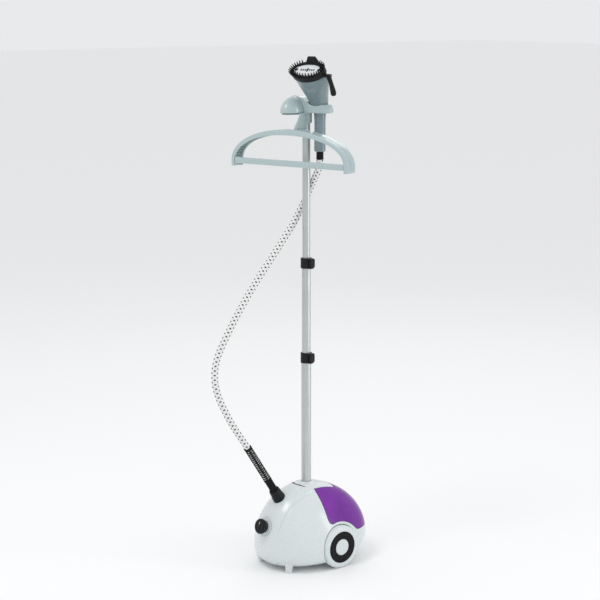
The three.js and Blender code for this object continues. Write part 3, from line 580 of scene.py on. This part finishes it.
def make_net():
    """Ladder of open hoops joined by two spines, round the hose."""
    length, skin = NET["end"] - NET["start"], NET["radius"] - 0.3
    hoops = int(length / NET["pitch"])
    parts = [hoop(skin, NET["start"] + length * i / hoops, NET["thick"], NET["strand"])
             for i in range(1, hoops)]
    for start in (NET["spine_at"], NET["spine_at"] + math.pi):
        spine = [(skin * math.cos(start), skin * math.sin(start), NET["start"] + length * t)
                 for t in np.linspace(0, 1, 40)]
        parts.append(tube_along(np.array(spine), 2.6, 10, flat=0.36))
    for at in (NET["start"] + 2, NET["end"] - 2):
        band = [(skin - 2, at - 2.2), (skin + 0.9, at - 2.2), (skin + 0.9, at + 2.2), (skin - 2, at + 2.2)]
        parts.append(turned(band, 64, 0.6))
    return piece("hose_ladder", gathered(parts), HOSE_FRAME, "black_rubber", "base", ["hose_net"], sharp=60)


def tube_along(line, radius, sides, flat):
    """A rod along a line near the Z axis, flattened towards that axis."""
    ahead = unit(np.gradient(line, axis=0))
    outward = unit(line * (1, 1, 0))
    across = np.cross(ahead, outward)
    angles = turn_steps(sides)
    rings = [c + radius * (flat * np.cos(angles)[:, None] * o + np.sin(angles)[:, None] * a)
             for c, o, a in zip(line, outward, across)]
    return loft(rings)


def gathered(meshes):
    """Several closed meshes as one mesh."""
    work = bmesh.new()
    for mesh in meshes:
        work.from_mesh(mesh)
    whole = bpy.data.meshes.new("made")
    work.to_mesh(whole)
    work.free()
    return whole


(hose_lower, lower_path), (hose_middle, middle_path), (hose_upper, upper_path) = make_hose()
boot, collar, ladder = make_cuff(), make_sleeve(), make_net()


# ---------------- base
def reach(z, size, belly, rise, power, tuck, bend):
    """How far the body reaches out at a height: a rounded dome above its belly, tucked in below."""
    if z >= belly:
        return size * (1 - ((z - belly) / rise) ** power) ** (1 / power)
    return size * (1 - tuck * ((belly - z) / belly) ** bend)


def smooth_step(value, low, high):
    t = np.clip((value - low) / (high - low), 0, 1)
    return t * t * (3 - 2 * t)


def body_ring(z, inset, sides, crowded=False):
    """The body's outline at one height; crowded draws its points together along the crease."""
    front, rear, side = (reach(z, **zone) - inset for zone in (FRONT, REAR, SIDE))
    angles = turn_steps(sides)
    if crowded and side > CREASE["x"] + 4:
        crease = math.acos((CREASE["x"] / side) ** (FRONT_POWER / 2))
        for middle in (2 * math.pi - crease, math.pi + crease):
            away = angles - middle
            angles = angles - CROWDING["share"] * away * np.exp(-(away / CROWDING["reach"]) ** 2)
    c, s = np.cos(angles), np.sin(angles)
    power = np.where(s > 0, 2 / REAR_POWER, 2 / FRONT_POWER)
    x = side * np.sign(c) * np.abs(c) ** power
    y = np.where(s > 0, rear, front) * np.sign(s) * np.abs(s) ** power
    return np.stack([x, y, np.full(sides, float(z))], 1)


def relief_lift(ring, z):
    """How far each point of a ring is moved for the panel, its groove and the step round the pole."""
    across, ahead = np.abs(ring[:, 0]), -ring[:, 1]
    near_pole = np.hypot(ring[:, 0], ring[:, 1])
    x, soft = CREASE["x"], CREASE["soft"]
    inside_crease = 1 - smooth_step(across, x - soft, x + soft)
    groove = CREASE["groove"] * np.exp(-((across - x - CREASE["groove_out"]) / CREASE["groove_width"]) ** 2)
    fade = smooth_step(ahead, *CREASE["fade_ahead"]) * smooth_step(z, *CREASE["fade_height"])
    lift = (CREASE["lift"] * inside_crease - groove) * fade
    inner, outer = POLE_STEP["radius"] - POLE_STEP["soft"], POLE_STEP["radius"] + POLE_STEP["soft"]
    collar = POLE_STEP["lift"] * (1 - smooth_step(near_pole, inner, outer))
    return np.where(near_pole < outer, np.maximum(lift, collar), lift)


def body(inset, sides=480, relief=False):
    """The body's outer form. relief adds its raised front panel and the step round the pole."""
    low = np.linspace(BASE["bottom"], BELT, 22)
    high = BELT + (BASE["top"] - BELT) * np.sin(np.linspace(0, math.pi / 2, 64))[1:]
    middle = (BASE["top"] + BASE["bottom"]) / 2
    squeeze = 1 - 2 * inset / (BASE["top"] - BASE["bottom"])
    rings = []
    for z in [*low, *high]:
        ring = body_ring(z, inset, sides, crowded=relief)
        if relief:
            outward = unit(ring * (1, 1, 0))
            slope = smooth_step(z, *UPWARD["height"])
            outward = outward * (1 - UPWARD["side_loss"] * slope) + np.array([0, 0, UPWARD["rise"] * slope])
            ring = ring + outward * relief_lift(ring, z)[:, None]
        ring[:, 2] = middle + (ring[:, 2] - middle) * squeeze
        rings.append(ring)
    return loft(rings)


def tank_space(margin):
    """The room that the tank takes, seen from the side, less the core in front of it."""
    front = TANK["front"] - margin
    lobe = TANK["lobe"] - margin
    outline = [(front, 260), (front, lobe + 20), (front + 1, lobe + 12), (front + 4, lobe + 5),
               (front + 9, lobe + 1.4), (front + 15, lobe)]
    for step in range(40):
        angle = math.radians(98 - step * 62 / 39)
        outline.append((TANK["arch_y"] + (TANK["arch_r"] - margin) * math.cos(angle),
                        TANK["arch_z"] + (TANK["arch_r"] - margin) * math.sin(angle)))
    floor = TANK["floor"] - margin
    outline += [(104, floor + 0.5), (112, floor), (220, floor), (220, 260)]
    half, rear = TANK["core"] - margin, TANK["core_rear"] - margin
    core = fillet([(-half, -60), (half, -60), (half, rear), (-half, rear)], 8, 6)
    return cut(prism(outline, -160, 160, "side"), prism(core, 0, 280, "plan"))


def arches(radius, depth):
    return [cross_rod(radius, depth, 160, WHEEL["y"], WHEEL["z"]),
            cross_rod(radius, -160, -depth, WHEEL["y"], WHEEL["z"])]


def arc_strip(radius, width, half_angle):
    """A strip along an arc in front of the pole, narrowing towards its ends."""
    angles = np.radians(np.linspace(-half_angle, half_angle, 60))
    shares = np.sqrt(np.clip(1 - (angles / angles[-1]) ** 2, 0.004, 1))

    def edge(side):
        reaches = radius + side * width * shares / 2
        return [(out * math.sin(a), -out * math.cos(a)) for out, a in zip(reaches, angles)]

    return edge(1) + edge(-1)[::-1]


def make_shell():
    outside = body(0, relief=True)
    hollow = cut(body(BASE["wall"], 180), *arches(ARCH_RADIUS + 2.5, WHEEL["inner"] - 4.5))
    below = block((-200, -200, 0), (200, 220, BASE["seam"]))
    radius, width, half_angle = SLOT["radius"], SLOT["width"], SLOT["half_angle"]
    slot = prism(arc_strip(radius, width, half_angle), SLOT["floor"], 260, "plan")
    hose_hole = moved(rod(18.9, -30, 20), MACHINE.inverted() @ HOSE_FRAME)
    knob_hole = moved(rod(4.2, -16, 12), MACHINE.inverted() @ KNOB_FRAME)
    pole_hole = rod(15, 200, 260)
    axle_hole = cross_rod(4.4, -150, 150, WHEEL["y"], WHEEL["z"], 32)
    to_back = Matrix.Rotation(math.pi / 2, 4, "X")
    gland = moved(rod(9.4, -12, 6.5), Matrix.Translation(GLAND) @ to_back)
    seams = [block((x0, -35.5, 10), (x1, -34.6, 55)) for x0, x1 in ((110, 150), (-150, -110))]
    pips = [moved(rod(2.1, -8, 8, sides=20), Matrix.Translation((x, -137, 27)) @ to_back)
            for x in (-44.7, 44.7)]
    shell = cut(outside, hollow, below, *arches(ARCH_RADIUS, WHEEL["inner"] - 2), axle_hole, tank_space(1.1),
                hose_hole, pole_hole, knob_hole, slot, gland, *seams, *pips)
    # A dark sheet sunk just under the surface along the slot: painted shade standing in for the shadow in the
    # recess.
    strip = prism(arc_strip(radius, width - 0.2, half_angle - 0.5), SLOT["shade_sheet_floor"], 260, "plan")
    shade_sheet = common(strip, body(SLOT["sunk"], relief=True))
    piece("slot_shade_sheet", shade_sheet, MACHINE, "black_plastic", "base", look=SLOT_SHADE_LOOK)
    piece("body_shell", shell, MACHINE, "white_shell", "base", ["base_shell"], sharp=30)


def make_pan():
    low = block((-200, -200, 0), (200, 220, BASE["seam"] - 0.3))
    inner = common(body(BASE["wall"], 120), block((-200, -200, 20), (200, 220, 60)))
    pan = cut(common(body(0, 240), low), inner, *arches(ARCH_RADIUS, WHEEL["inner"] - 2))
    piece("body_pan", pan, MACHINE, "white_shell", "base", ["base_pan"])


def make_tank():
    outer = common(body(0), tank_space(0))
    room = common(body(TANK["wall"], 180), tank_space(-TANK["wall"]))
    mouth = rod(12, 60, 130, y=112)
    tank = cut(outer, room, mouth)
    piece("tank_shell", tank, MACHINE, "tank_purple", "tank", ["water_tank"], sharp=30)


def make_dial_marks():
    """A ring of short printed dashes round the knob, laid on the body's surface."""
    inner, outer = 26.2, 27.4
    parts = []
    for start in turns(26):
        arc = [(outer * math.cos(start + t), outer * math.sin(start + t)) for t in (0, 0.05, 0.1)]
        back = [(inner * math.cos(start + t), inner * math.sin(start + t)) for t in (0.1, 0.05, 0)]
        parts.append(prism(arc + back, -14, 8, "plan"))
    dashes = moved(gathered(parts), MACHINE.inverted() @ KNOB_FRAME)
    near = block((-40, -190, 80), (40, -100, 175))
    skin = common(cut(body(-0.18, relief=True), body(0.3, relief=True)), near)
    marks = common(skin, dashes)
    piece("dial_marks", marks, MACHINE, "black_plastic", "base")


def make_knob():
    def grip_ribs(radius, height, angle):
        return 0.3 * math.cos(36 * angle) if radius > 19 and 9 < height < 20 else 0
    skirt_line = [(0, 2.2), (17, 2.2), (18, 6), (21.4, 12), (21.6, 18), (19.8, 21.4), (16, 22.4), (0, 22.4)]
    skirt = turned(skirt_line, 288, 1.6, grip_ribs)
    dish = turned([(0, 21.2), (14.6, 21.2), (15.6, 23.5), (0, 23.5)], 96, 0.4)
    bar_outline = fillet([(-4.4, -14.8), (4.4, -14.8), (4.4, 14.8), (-4.4, 14.8)], 3, 4)
    bar = softened(prism(bar_outline, 15, 22.1, "plan"), 0.6, 50)
    socket = rod(3.4, 0, 10)
    knob = cut(join(cut(skirt, dish), bar), socket)
    piece("knob_cap", knob, KNOB_FRAME, "black_plastic", "dial", ["knob"])
    line = softened(block((-0.7, 5, 22), (0.7, 13.2, 22.3)), 0.1, 50, 1)
    piece("knob_pointer", line, KNOB_FRAME, "white_shell", "dial")


def make_wheels():
    names = ("inner", "outer", "radius", "ring_out", "ring_in")
    inner, outer, radius, out, hub = (WHEEL[key] for key in names)
    disc = [(4.3, inner), (radius - 2, inner), (radius, inner + 3), (radius, outer - 7),
            (radius - 4, outer - 1.6), (out + 1.2, outer), (out + 0.3, outer - 0.8), (out + 0.3, outer - 4),
            (hub - 0.3, outer - 4), (hub - 0.3, outer - 7), (4.3, outer - 7)]
    ring = [(hub, outer - 3.7), (out, outer - 3.7), (out, outer - 0.6), (out - 1.5, outer + 0.2),
            (hub + 1.5, outer + 0.2), (hub, outer - 0.6)]
    cap = [(0, outer - 6.7), (hub - 0.6, outer - 6.7), (hub - 0.6, outer - 0.8), (hub - 3.5, outer + 0.5),
           (0, outer + 0.9)]
    middle = MACHINE @ Matrix.Translation((0, WHEEL["y"], WHEEL["z"]))
    for name, side in (("left", -1), ("right", 1)):
        place = middle @ Matrix.Rotation(side * math.pi / 2, 4, "Y")
        on = f"wheel_{name[0]}"
        piece(f"tyre_{name}", turned(disc, 128, 2.2), place, "white_shell", on, [f"wheel_{name}"])
        piece(f"wheel_band_{name}", turned(ring, 128, 0.8), place, "black_rubber", on, [f"wheel_ring_{name}"])
        piece(f"hub_{name}", turned(cap, 96, 1.4), place, "white_shell", on, [f"hub_cap_{name}"])


def make_feet():
    for name, side in (("left", -1), ("right", 1)):
        post = turned([(0, 0), (7.2, 0), (8.8, 3), (15, 34), (0, 34)], 64, 1.6)
        foot = cut(moved(post, Matrix.Translation((side * FOOT["x"], FOOT["y"], 0))), body(-0.3, 180))
        piece(f"foot_post_{name}", foot, MACHINE, "white_shell", "base", [f"foot_{name}"])


def make_pole():
    trim = turned([(14.4, 228), (25, 228), (25, 233), (22, 234.4), (17.4, 235.6), (14.4, 235.6)], 96, 0.8)
    piece("pole_collar", trim, MACHINE, "white_shell", "base", ["pole_trim"])
    for name, tube in TUBES.items():
        outer, inner, low, high = (tube[key] for key in ("outer", "inner", "low", "high"))
        wall = turned([(inner, low), (outer, low), (outer, high), (inner, high)], 96, 0.3)
        piece(f"tube_{name}", wall, MACHINE, "pole_tube", tube["body"], [f"pole_{name}"])


def make_clamp(name, tube, next_tube):
    """The clamp on top of one tube, which the next tube slides through, and its flip lever."""
    low, high = CLAMP[name], CLAMP[name] + CLAMP["height"]
    ring = rod(CLAMP["ring"], low, high, sides=72)
    lug = block((11, -7, low), (17.5, 4, high))
    ears = [block((12, -11, low), (23.4, 4, low + 2.4)), block((12, -11, high - 2.4), (23.4, 4, high))]
    bores = [rod(tube["outer"] + 0.3, low - 1, low + 13.3),
             rod(next_tube["outer"] + 0.3, low + 12.3, high + 1)]
    pin_hole = rod(CLAMP["pin"], low - 1, high + 1, x=CLAMP["pin_x"], y=CLAMP["pin_y"], sides=24)
    collar = cut(softened(join(ring, lug, *ears), 0.7, 50, 2), *bores, pin_hole)
    piece(f"{name}_collar", collar, HEAD_FRAME, "black_plastic", tube["body"], [f"clamp_{name}_body"])
    outline = fillet([(18, -10), (22.4, -11), (23.8, -9), (24.2, 0), (23.8, 8), (22, 11), (18, 11)], 1.5, 3)
    handle = softened(prism(outline, low + 2.8, high - 2.8, "plan"), 0.8, 55)
    grooves = [block((23.2, 2 + 2 * i, low + 5), (26, 2.8 + 2 * i, high - 5)) for i in range(4)]
    handle = cut(handle, pin_hole.copy(), *grooves)
    piece(f"{name}_flip", handle, HEAD_FRAME, "black_plastic", f"{name}_lever", [f"clamp_{name}_lever"])


make_shell()
make_pan()
make_tank()
make_dial_marks()
make_knob()
make_wheels()
make_feet()
make_pole()
make_clamp("lower", TUBES["lower"], TUBES["middle"])
make_clamp("upper", TUBES["middle"], TUBES["upper"])


# ---------------- handset
# Sections up the handset: y and z of the middle, half width, half depth, tilt towards the front.
HANDSET_SECTIONS = [
    (0, 1189, 15, 15, 0), (0, 1192, 16, 16, 0), (0, 1240, 15.6, 15.8, 0), (0, 1284, 16, 16.4, 0),
    (0, 1300, 19, 18, 2), (-3, 1318, 25.5, 21.5, 7), (-11.5, 1342, 32, 26, 16), (-21.5, 1365, 41.5, 30, 28),
    (-31, 1384, 49.5, 32, 38), (-48, 1404.4, 52, 31.5, 45),
]


def handset_form(inset, first=0):
    """The handset's outer form drawn in by inset, from its first-th section up."""
    rows = np.array(HANDSET_SECTIONS[first:], float)
    smooth = []
    for i in range(len(rows) - 1):
        p0, p1, p2, p3 = rows[max(i - 1, 0)], rows[i], rows[i + 1], rows[min(i + 2, len(rows) - 1)]
        gap = max(p2[1] - p1[1], 1e-6)
        m1 = (p2 - p0) / (p2[1] - p0[1]) * gap
        m2 = (p3 - p1) / (p3[1] - p1[1]) * gap
        smooth += [hermite(t, p1, m1, p2, m2) for t in np.linspace(0, 1, 8, endpoint=False)]
    smooth.append(rows[-1])
    return loft([ellipse(0, y, z, half - inset, depth - inset, math.radians(tilt))
                 for y, z, half, depth, tilt in smooth])


def mouth_disc(half, depth, low, high):
    return loft([ellipse(0, 0, z, half, depth) for z in (low, high)])


def oval_ring(profile):
    """A ring round the mouth from a profile of (half width, half depth, height) corners."""
    line = fillet(profile, 1.4, 4)
    return loft([ellipse(0, 0, z, half, depth, sides=160) for half, depth, z in line], wrap=True)


MOUTH_IN_HANDSET = HANDSET_FRAME.inverted() @ MOUTH_FRAME


def make_handset():
    rim = MOUTH["rim"]
    beyond = moved(block((-90, -80, -rim + 0.1), (90, 80, 60)), MOUTH_IN_HANDSET)
    opening = mouth_disc(MOUTH["half"] - 3.9, MOUTH["depth"] - 3.2, -rim - 1, -rim + 2)
    opening = moved(opening, MOUTH_IN_HANDSET)
    cuff_hole = rod(6, 1180, 1200, sides=32)
    dimple = moved(turned([(0, -3), (1.6, -3), (1.6, 3), (0, 3)], 24, 0.1),
                   Matrix.Translation((33, -50, 1381)) @ Matrix.Rotation(1.2, 4, "X"))
    skin = cut(handset_form(0), handset_form(2.6, 1), opening, cuff_hole, beyond, dimple)
    front = common(skin.copy(), block((-100, -140, 1100), (100, -0.25, 1500)))
    rear = common(skin, block((-100, 0.25, 1100), (100, 80, 1500)))
    for name, half, node in (("face", front, "front"), ("back", rear, "rear")):
        piece(f"handset_{name}", softened(half, 0.35, 60, 2), HANDSET_FRAME, "dark_grey_blue", "handset",
              [f"handset_{node}"])
    # A bead of the lighter head plastic in the gap between the halves: the parting seam is real, and the
    # bead's lighter colour is a painted highlight along the side.
    core = cut(handset_form(0.9), handset_form(2.2, 1), opening.copy(), cuff_hole.copy(), beyond.copy())
    seam_highlight_bead = common(core, block((-100, -0.5, 1100), (100, 0.5, 1500)))
    piece("handset_seam_highlight", seam_highlight_bead, HANDSET_FRAME, "grey_blue", "handset")
    cuff = [(0, 1166), (9.6, 1166), (10.2, 1167.6), (10, 1172), (10, 1188.7), (0, 1188.7)]
    piece("handset_boot", turned(cuff, 64, 0.5), HANDSET_FRAME, "black_rubber", "handset", ["handset_cuff"])


def make_brush():
    rim, half, depth = MOUTH["rim"], MOUTH["half"], MOUTH["depth"]
    inner, across_it = STEAM_PLATE["half"] + 1, STEAM_PLATE["depth"] + 1
    profile = [(half, depth, -rim + 0.4), (half + 0.4, depth + 0.4, -3), (half - 1.2, depth - 1.2, 0),
               (inner + 2, across_it + 2.5, 0), (inner, across_it, -3), (inner, across_it, -rim + 5),
               (half - 5, depth - 5.5, -rim + 5), (half - 5, depth - 5.5, -rim + 0.4)]
    ring = oval_ring(profile)
    levels = [(-8, 20, 26.3, 34.3), (0, 19, 25.8, 36.3), (7, 15, 30.3, 38.6), (12, 12.5, 36, 40.3)]
    tab = loft([[(-wide, near, z), (wide, near, z), (wide, far, z), (-wide, far, z)]
                for z, wide, near, far in levels])
    frame_mesh = moved(join(ring, softened(tab, 1.6, 24)), MOUTH_IN_HANDSET)
    x, z, front, rear, ear = (LEVER[key] for key in ("x", "z", "front", "rear", "ear"))
    ears = [block((49, front - 0.3 - ear, z - 4), (x + 3.5, front - 0.3, z + 4.4)),
            block((49, rear + 2.6, z - 4), (x + 3.5, rear + 2.6 + ear, z + 4.4))]
    whole = cut(join(frame_mesh, *[softened(e, 0.8, 50, 2) for e in ears]), handset_form(-0.3))
    piece("brush_ring", whole, HANDSET_FRAME, "black_plastic", "handset", ["brush_frame"])

    base = [(half - 3, depth - 6, 0.2), (half - 3, depth - 6, 1.4), (inner + 0.6, across_it + 1.6, 1.4),
            (inner + 0.6, across_it + 1.6, 0.2)]
    parts = [oval_ring(base)]
    # Rows from outside in: place in from the rim each way, how many, lean outwards, length.
    rows = [((2.4, 4.2), 38, 0.8, 9.5), ((4.4, 7.5), 34, 0.1, 7), ((6.2, 10.2), 30, -0.7, 8)]
    for row, (inset, count, lean, length) in enumerate(rows):
        across, along = half - inset[0], depth - inset[1]
        for i in range(count):
            angle = 2 * math.pi * (i + 0.5 * (row % 2)) / count
            if row < 2 and abs(angle - math.pi / 2) < TAB_GAP:
                continue
            outward = Vector((math.cos(angle) / across, math.sin(angle) / along, 0)).normalized()
            tip = outward * math.sin(lean) * length + Vector((0, 0, math.cos(lean) * length))
            foot = Vector((across * math.cos(angle), along * math.sin(angle), 0.4))
            parts.append(bristle(foot, foot + tip, BRISTLE["foot"], BRISTLE["tip"]))
    bristles = gathered(parts)
    piece("brush_teeth", bristles, MOUTH_FRAME, "black_plastic", "handset", ["brush_bristles"], sharp=50)


def bristle(foot, tip, thick, thin):
    ahead = (tip - foot).normalized()
    side = ahead.cross(Vector((1, 0.3, 0))).normalized()
    up = ahead.cross(side)
    rings = []
    for share, radius in ((0, thick), (0.85, thin), (1, thin * 0.5)):
        centre = foot.lerp(tip, share)
        rings.append([centre + radius * (math.cos(a) * side + math.sin(a) * up)
                      for a in turn_steps(8)])
    return loft(rings)


def make_plate():
    half, depth = STEAM_PLATE["half"], STEAM_PLATE["depth"]
    face = loft([ellipse(0, 0, z, half - inset, depth - inset) for z, inset in
                 [(-4, 0), (-1.6, 0), (-0.8, 1), (-0.4, 4), (-0.2, 10)]])
    openings = [(x, 2.3, 4.4) for x in (-21, -14, -7, 7, 14, 21)] + [(0, 3.4, 7.4)]
    holes = [loft([ellipse(x, 0, z, wide, tall) for z in (-20, 20)]) for x, wide, tall in openings]
    # Black fills sunk just inside the steam holes: painted shade in the holes.
    hole_shade_plugs = [loft([ellipse(x, 0, z, wide - 0.1, tall - 0.1) for z in (-7, -0.3)])
             for x, wide, tall in openings]
    ends = (-37, 37)
    wells = [rod(5, -1.8, 20, x=x, sides=32) for x in ends]
    plate = cut(face, *holes, *wells)
    piece("steam_face", plate, MOUTH_FRAME, "steam_plate", "handset", ["steam_plate"])
    studs = [moved(turned([(2, -3), (4.6, -3), (4.6, 0.4), (2.6, 1), (2, 0.2)], 40, 0.3),
                   Matrix.Translation((x, 0, 0))) for x in ends]
    backing = mouth_disc(half - 2, depth - 2, -8.5, -7.3)
    piece("plate_studs_and_hole_shade", gathered([*studs, *hole_shade_plugs, backing]), MOUTH_FRAME, "black_plastic", "handset")


def make_lever():
    line = [(58.5, 1399), (59, 1405), (65.5, 1407), (69.5, 1403), (78, 1382), (87.4, 1360), (88.4, 1353),
            (85.5, 1347.5), (79, 1346.5), (74.2, 1350), (71.6, 1362), (67.6, 1380), (61.5, 1392)]
    handle = softened(prism(fillet(line, 5, 4), LEVER["front"], LEVER["rear"], "front"), 3, 50, 5)
    pin = moved(rod(1.7, -80, -30, sides=24),
                Matrix.Translation((LEVER["x"], -110, LEVER["z"])) @ Matrix.Rotation(math.pi / 2, 4, "X"))
    piece("press_handle", cut(handle, pin), HANDSET_FRAME, "black_plastic", "press_lever", ["brush_lever"])


make_handset()
make_brush()
make_plate()
make_lever()


# ---------------- head and hanger
def head_dome(half, depth, height):
    rings = []
    for step in range(1, 48):
        angle = math.pi * step / 48 - math.pi / 2
        rings.append(ellipse(0, 0, height * math.sin(angle), half * math.cos(angle), depth * math.cos(angle)))
    return moved(loft(rings), Matrix.Translation((HEAD["x"], HEAD["rim"], HEAD["floor"])))


def make_head():
    floor, rim = HEAD["floor"], HEAD["rim"]
    face = rim + 0.3                # the saddle's front face, against the hood
    spare = 8                       # made longer than that, then cut back to a crisp edge
    behind = block((-120, face - spare, floor), (120, 80, floor + 60))
    rear_dome = common(head_dome(HEAD["half"] + 1.5, 38, HEAD["height"] + 1.5), behind)
    fork = loft([ellipse(FORK["x"], FORK["y"], z, half, depth) for z, half, depth in
                 [(floor, 41, 28), (1304, 41.4, 28.4), (1313, 39, 26.6), (FORK["top"], 35, 23.5)]])
    line = [(-30, 1341.5), (-20, 1341), (-6, 1337.5), (6, 1329), (16, 1322), (26, 1318), (40, 1315)]
    bridge = prism([(-30, floor), (40, floor), *line[::-1]], face, 14, "front")
    lip = prism([(-30, floor), (20, floor), (20, 1319), *line[3::-1]], face - spare, face + 6, "front")
    hole = moved(handset_form(-FORK["clear"]), Matrix.Translation((FORK["x"], FORK["y"], 0)))
    slot = block((FORK["x"] - 12, FORK["y"], floor - 5), (FORK["x"] + 12, 70, floor + 60))
    over_fork = block((20, -60, FORK["top"]), (100, 80, floor + 60))
    socket = rod(16, 1267, floor + 4)
    bore = rod(11.4, 1260, 1291)
    outer = blended(join(rear_dome, fork, cut(bridge, over_fork), lip, socket), 1.0, 12, 0.6)
    front_room = block((-120, -120, floor - 40), (22, face, floor + 60))
    skin = cut(outer, hole, slot, bore, front_room)
    piece("head_saddle", skin, HEAD_FRAME, "grey_blue", "upper", ["head_body"], sharp=38)

    before = block((-120, -120, floor), (120, rim - 0.3, floor + 60))
    hood = cut(common(head_dome(HEAD["half"], HEAD["reach"], HEAD["height"]), before),
               head_dome(HEAD["half"] - 2.6, HEAD["reach"] - 2.6, HEAD["height"] - 2.6))
    piece("head_cowl", softened(hood, 0.8, 45, 3), HEAD_FRAME, "grey_blue", "upper", ["head_hood"])
    # The plate under the hood takes the darker handset plastic: painted shade for the shade beneath the hood.
    arc = [(HEAD["x"] + 27.5 * math.cos(a), rim - 2.5 + 46 * math.sin(a))
           for a in np.linspace(math.pi, 2 * math.pi, 48)]
    piece("cowl_floor", softened(prism(arc, floor - 4.4, floor - 0.3, "plan"), 1, 50), HEAD_FRAME,
          "dark_grey_blue", "upper", ["hood_cover"])


def arc_outline(half, rise, power, tip):
    """The hanger's arc from tip to tip, seen from the front."""
    points = [(-half, tip)]
    for angle in np.linspace(math.pi, 0, 96):
        c, s = math.cos(angle), abs(math.sin(angle))
        across = half * math.copysign(abs(c) ** (2 / power), c)
        points.append((across, HANGER["spring"] + rise * s ** (2 / power)))
    points.append((half, tip))
    return points


def make_hanger():
    h = HANGER
    half, front, rear, rise, tip = (h[k] for k in ("half", "front", "rear", "rise", "tip"))
    bend = h["power"]
    outer = softened(prism(arc_outline(half, rise, bend, tip), front, rear, "front"), 3.6, 60, 6)
    window = prism(arc_outline(half - h["side"], rise - h["crown"], h["window_power"], tip - 5),
                   front - 5, rear + 5, "front")
    channel = prism(arc_outline(half - 3, rise - 4, bend, tip - 5), front + 5, rear - 5, "front")
    groove = cut(prism(arc_outline(half + 4, rise + 4, bend, tip + 12), front + 14, front + 19, "front"),
                 prism(arc_outline(half - 0.6, rise - 0.6, bend, tip - 9), front, rear, "front"))
    arc = cut(outer, window, channel, groove)
    ribs = []
    for side in (-1, 1):
        for z in (1168, 1176, 1184, 1192):
            edge = (half - 2) * (1 - ((z - h["spring"]) / (rise - 3)) ** bend) ** (1 / bend)
            low_x, high_x = sorted((side * (edge - 7), side * edge))
            ribs.append(block((low_x, front + 3, z), (high_x, rear - 3, z + 1.6)))
    hooks = [block((side * (half - 12) - 6, front + 14, 1170), (side * (half - 12) + 6, front + 19, 1182))
             for side in (-1, 1)]
    bow = cut(join(arc, *ribs), *hooks)
    piece("hanger_bow", bow, HEAD_FRAME, "grey_blue", "upper", ["hanger_arc"], sharp=38)
    end = half - h["side"] - 1.2
    bar = softened(block((-end, front, h["bar_low"]), (end, front + 8, h["bar_high"])), 1.6, 50, 4)
    piece("hanger_rail", bar, HEAD_FRAME, "grey_blue", "upper", ["hanger_bar"])

    top, behind, over = 1295.6, rear + 0.3, h["spring"] + rise + 0.6
    web = prism(fillet([(-20, top), (-36, top), (-48, 1275), (-66, over), (behind, over), (behind, 1240),
                        (-17, 1240), (-17, top)], 3, 3), 3.6, 9.4, "side")
    flange = block((1.7, -20, 1240), (11, -16.6, top))
    foot = block((-6, behind, 1240), (19, -16.6, 1252))
    pad = block((-1, -34, 1292), (13, -16.6, top))
    neck = softened(join(web, flange, foot, pad), 0.7, 50, 2)
    piece("hanger_stem", neck, HEAD_FRAME, "grey_blue", "upper", ["hanger_neck"])


make_head()
make_hanger()


# ---------------- finishes on the parts kept from the frame
def finish_frame_parts():
    slots = {row["node"]: row["material_slot"] for row in frame["record"]["subparts"]}
    for name, node in frame["nodes"].items():
        node.data.materials.clear()
        node.data.materials.append(LOOKS[slots[name]])
        weld = node.modifiers.new("weld", "WELD")
        weld.merge_threshold = 0.00002


finish_frame_parts()


# ---------------- studio
def make_studio():
    floor = make_floor(40.0)
    floor_look = plastic("studio_floor", (0.95, 0.95, 0.95), 0.8, texture=60, strength=0.0, variety=0.0)
    floor.data.materials.append(floor_look)
    world = bpy.data.worlds.new("studio")
    scene.world = world
    world.use_nodes = True
    background = world.node_tree.nodes["Background"]
    background.inputs["Color"].default_value = (0.98, 0.99, 1.0, 1)
    background.inputs["Strength"].default_value = 0.83
    # Name, place, the height it points at, power, width and height.
    lamps = [("key", (0.1, -2.3, 4.2), 0.7, 40, 1.3, 1.3), ("strip", (2.9, 2.0, 1.3), 1.3, 20, 0.4, 2.6),
             ("back", (-1.8, 2.4, 2.8), 0.7, 8, 1.6, 1.6)]
    for name, place, height, power, wide, tall in lamps:
        data = bpy.data.lights.new(name, "AREA")
        data.energy = power
        data.shape = "RECTANGLE"
        data.size, data.size_y = wide, tall
        lamp = placed(name, data)
        lamp.location = place
        aim = Vector((0, 0, height)) - Vector(place)
        lamp.rotation_euler = aim.to_track_quat("-Z", "Y").to_euler()


def make_floor(size):
    mesh = bpy.data.meshes.new("studio_floor")
    work = bmesh.new()
    bmesh.ops.create_grid(work, x_segments=4, y_segments=4, size=size)
    work.to_mesh(mesh)
    work.free()
    return placed("studio_floor", mesh)


make_studio()
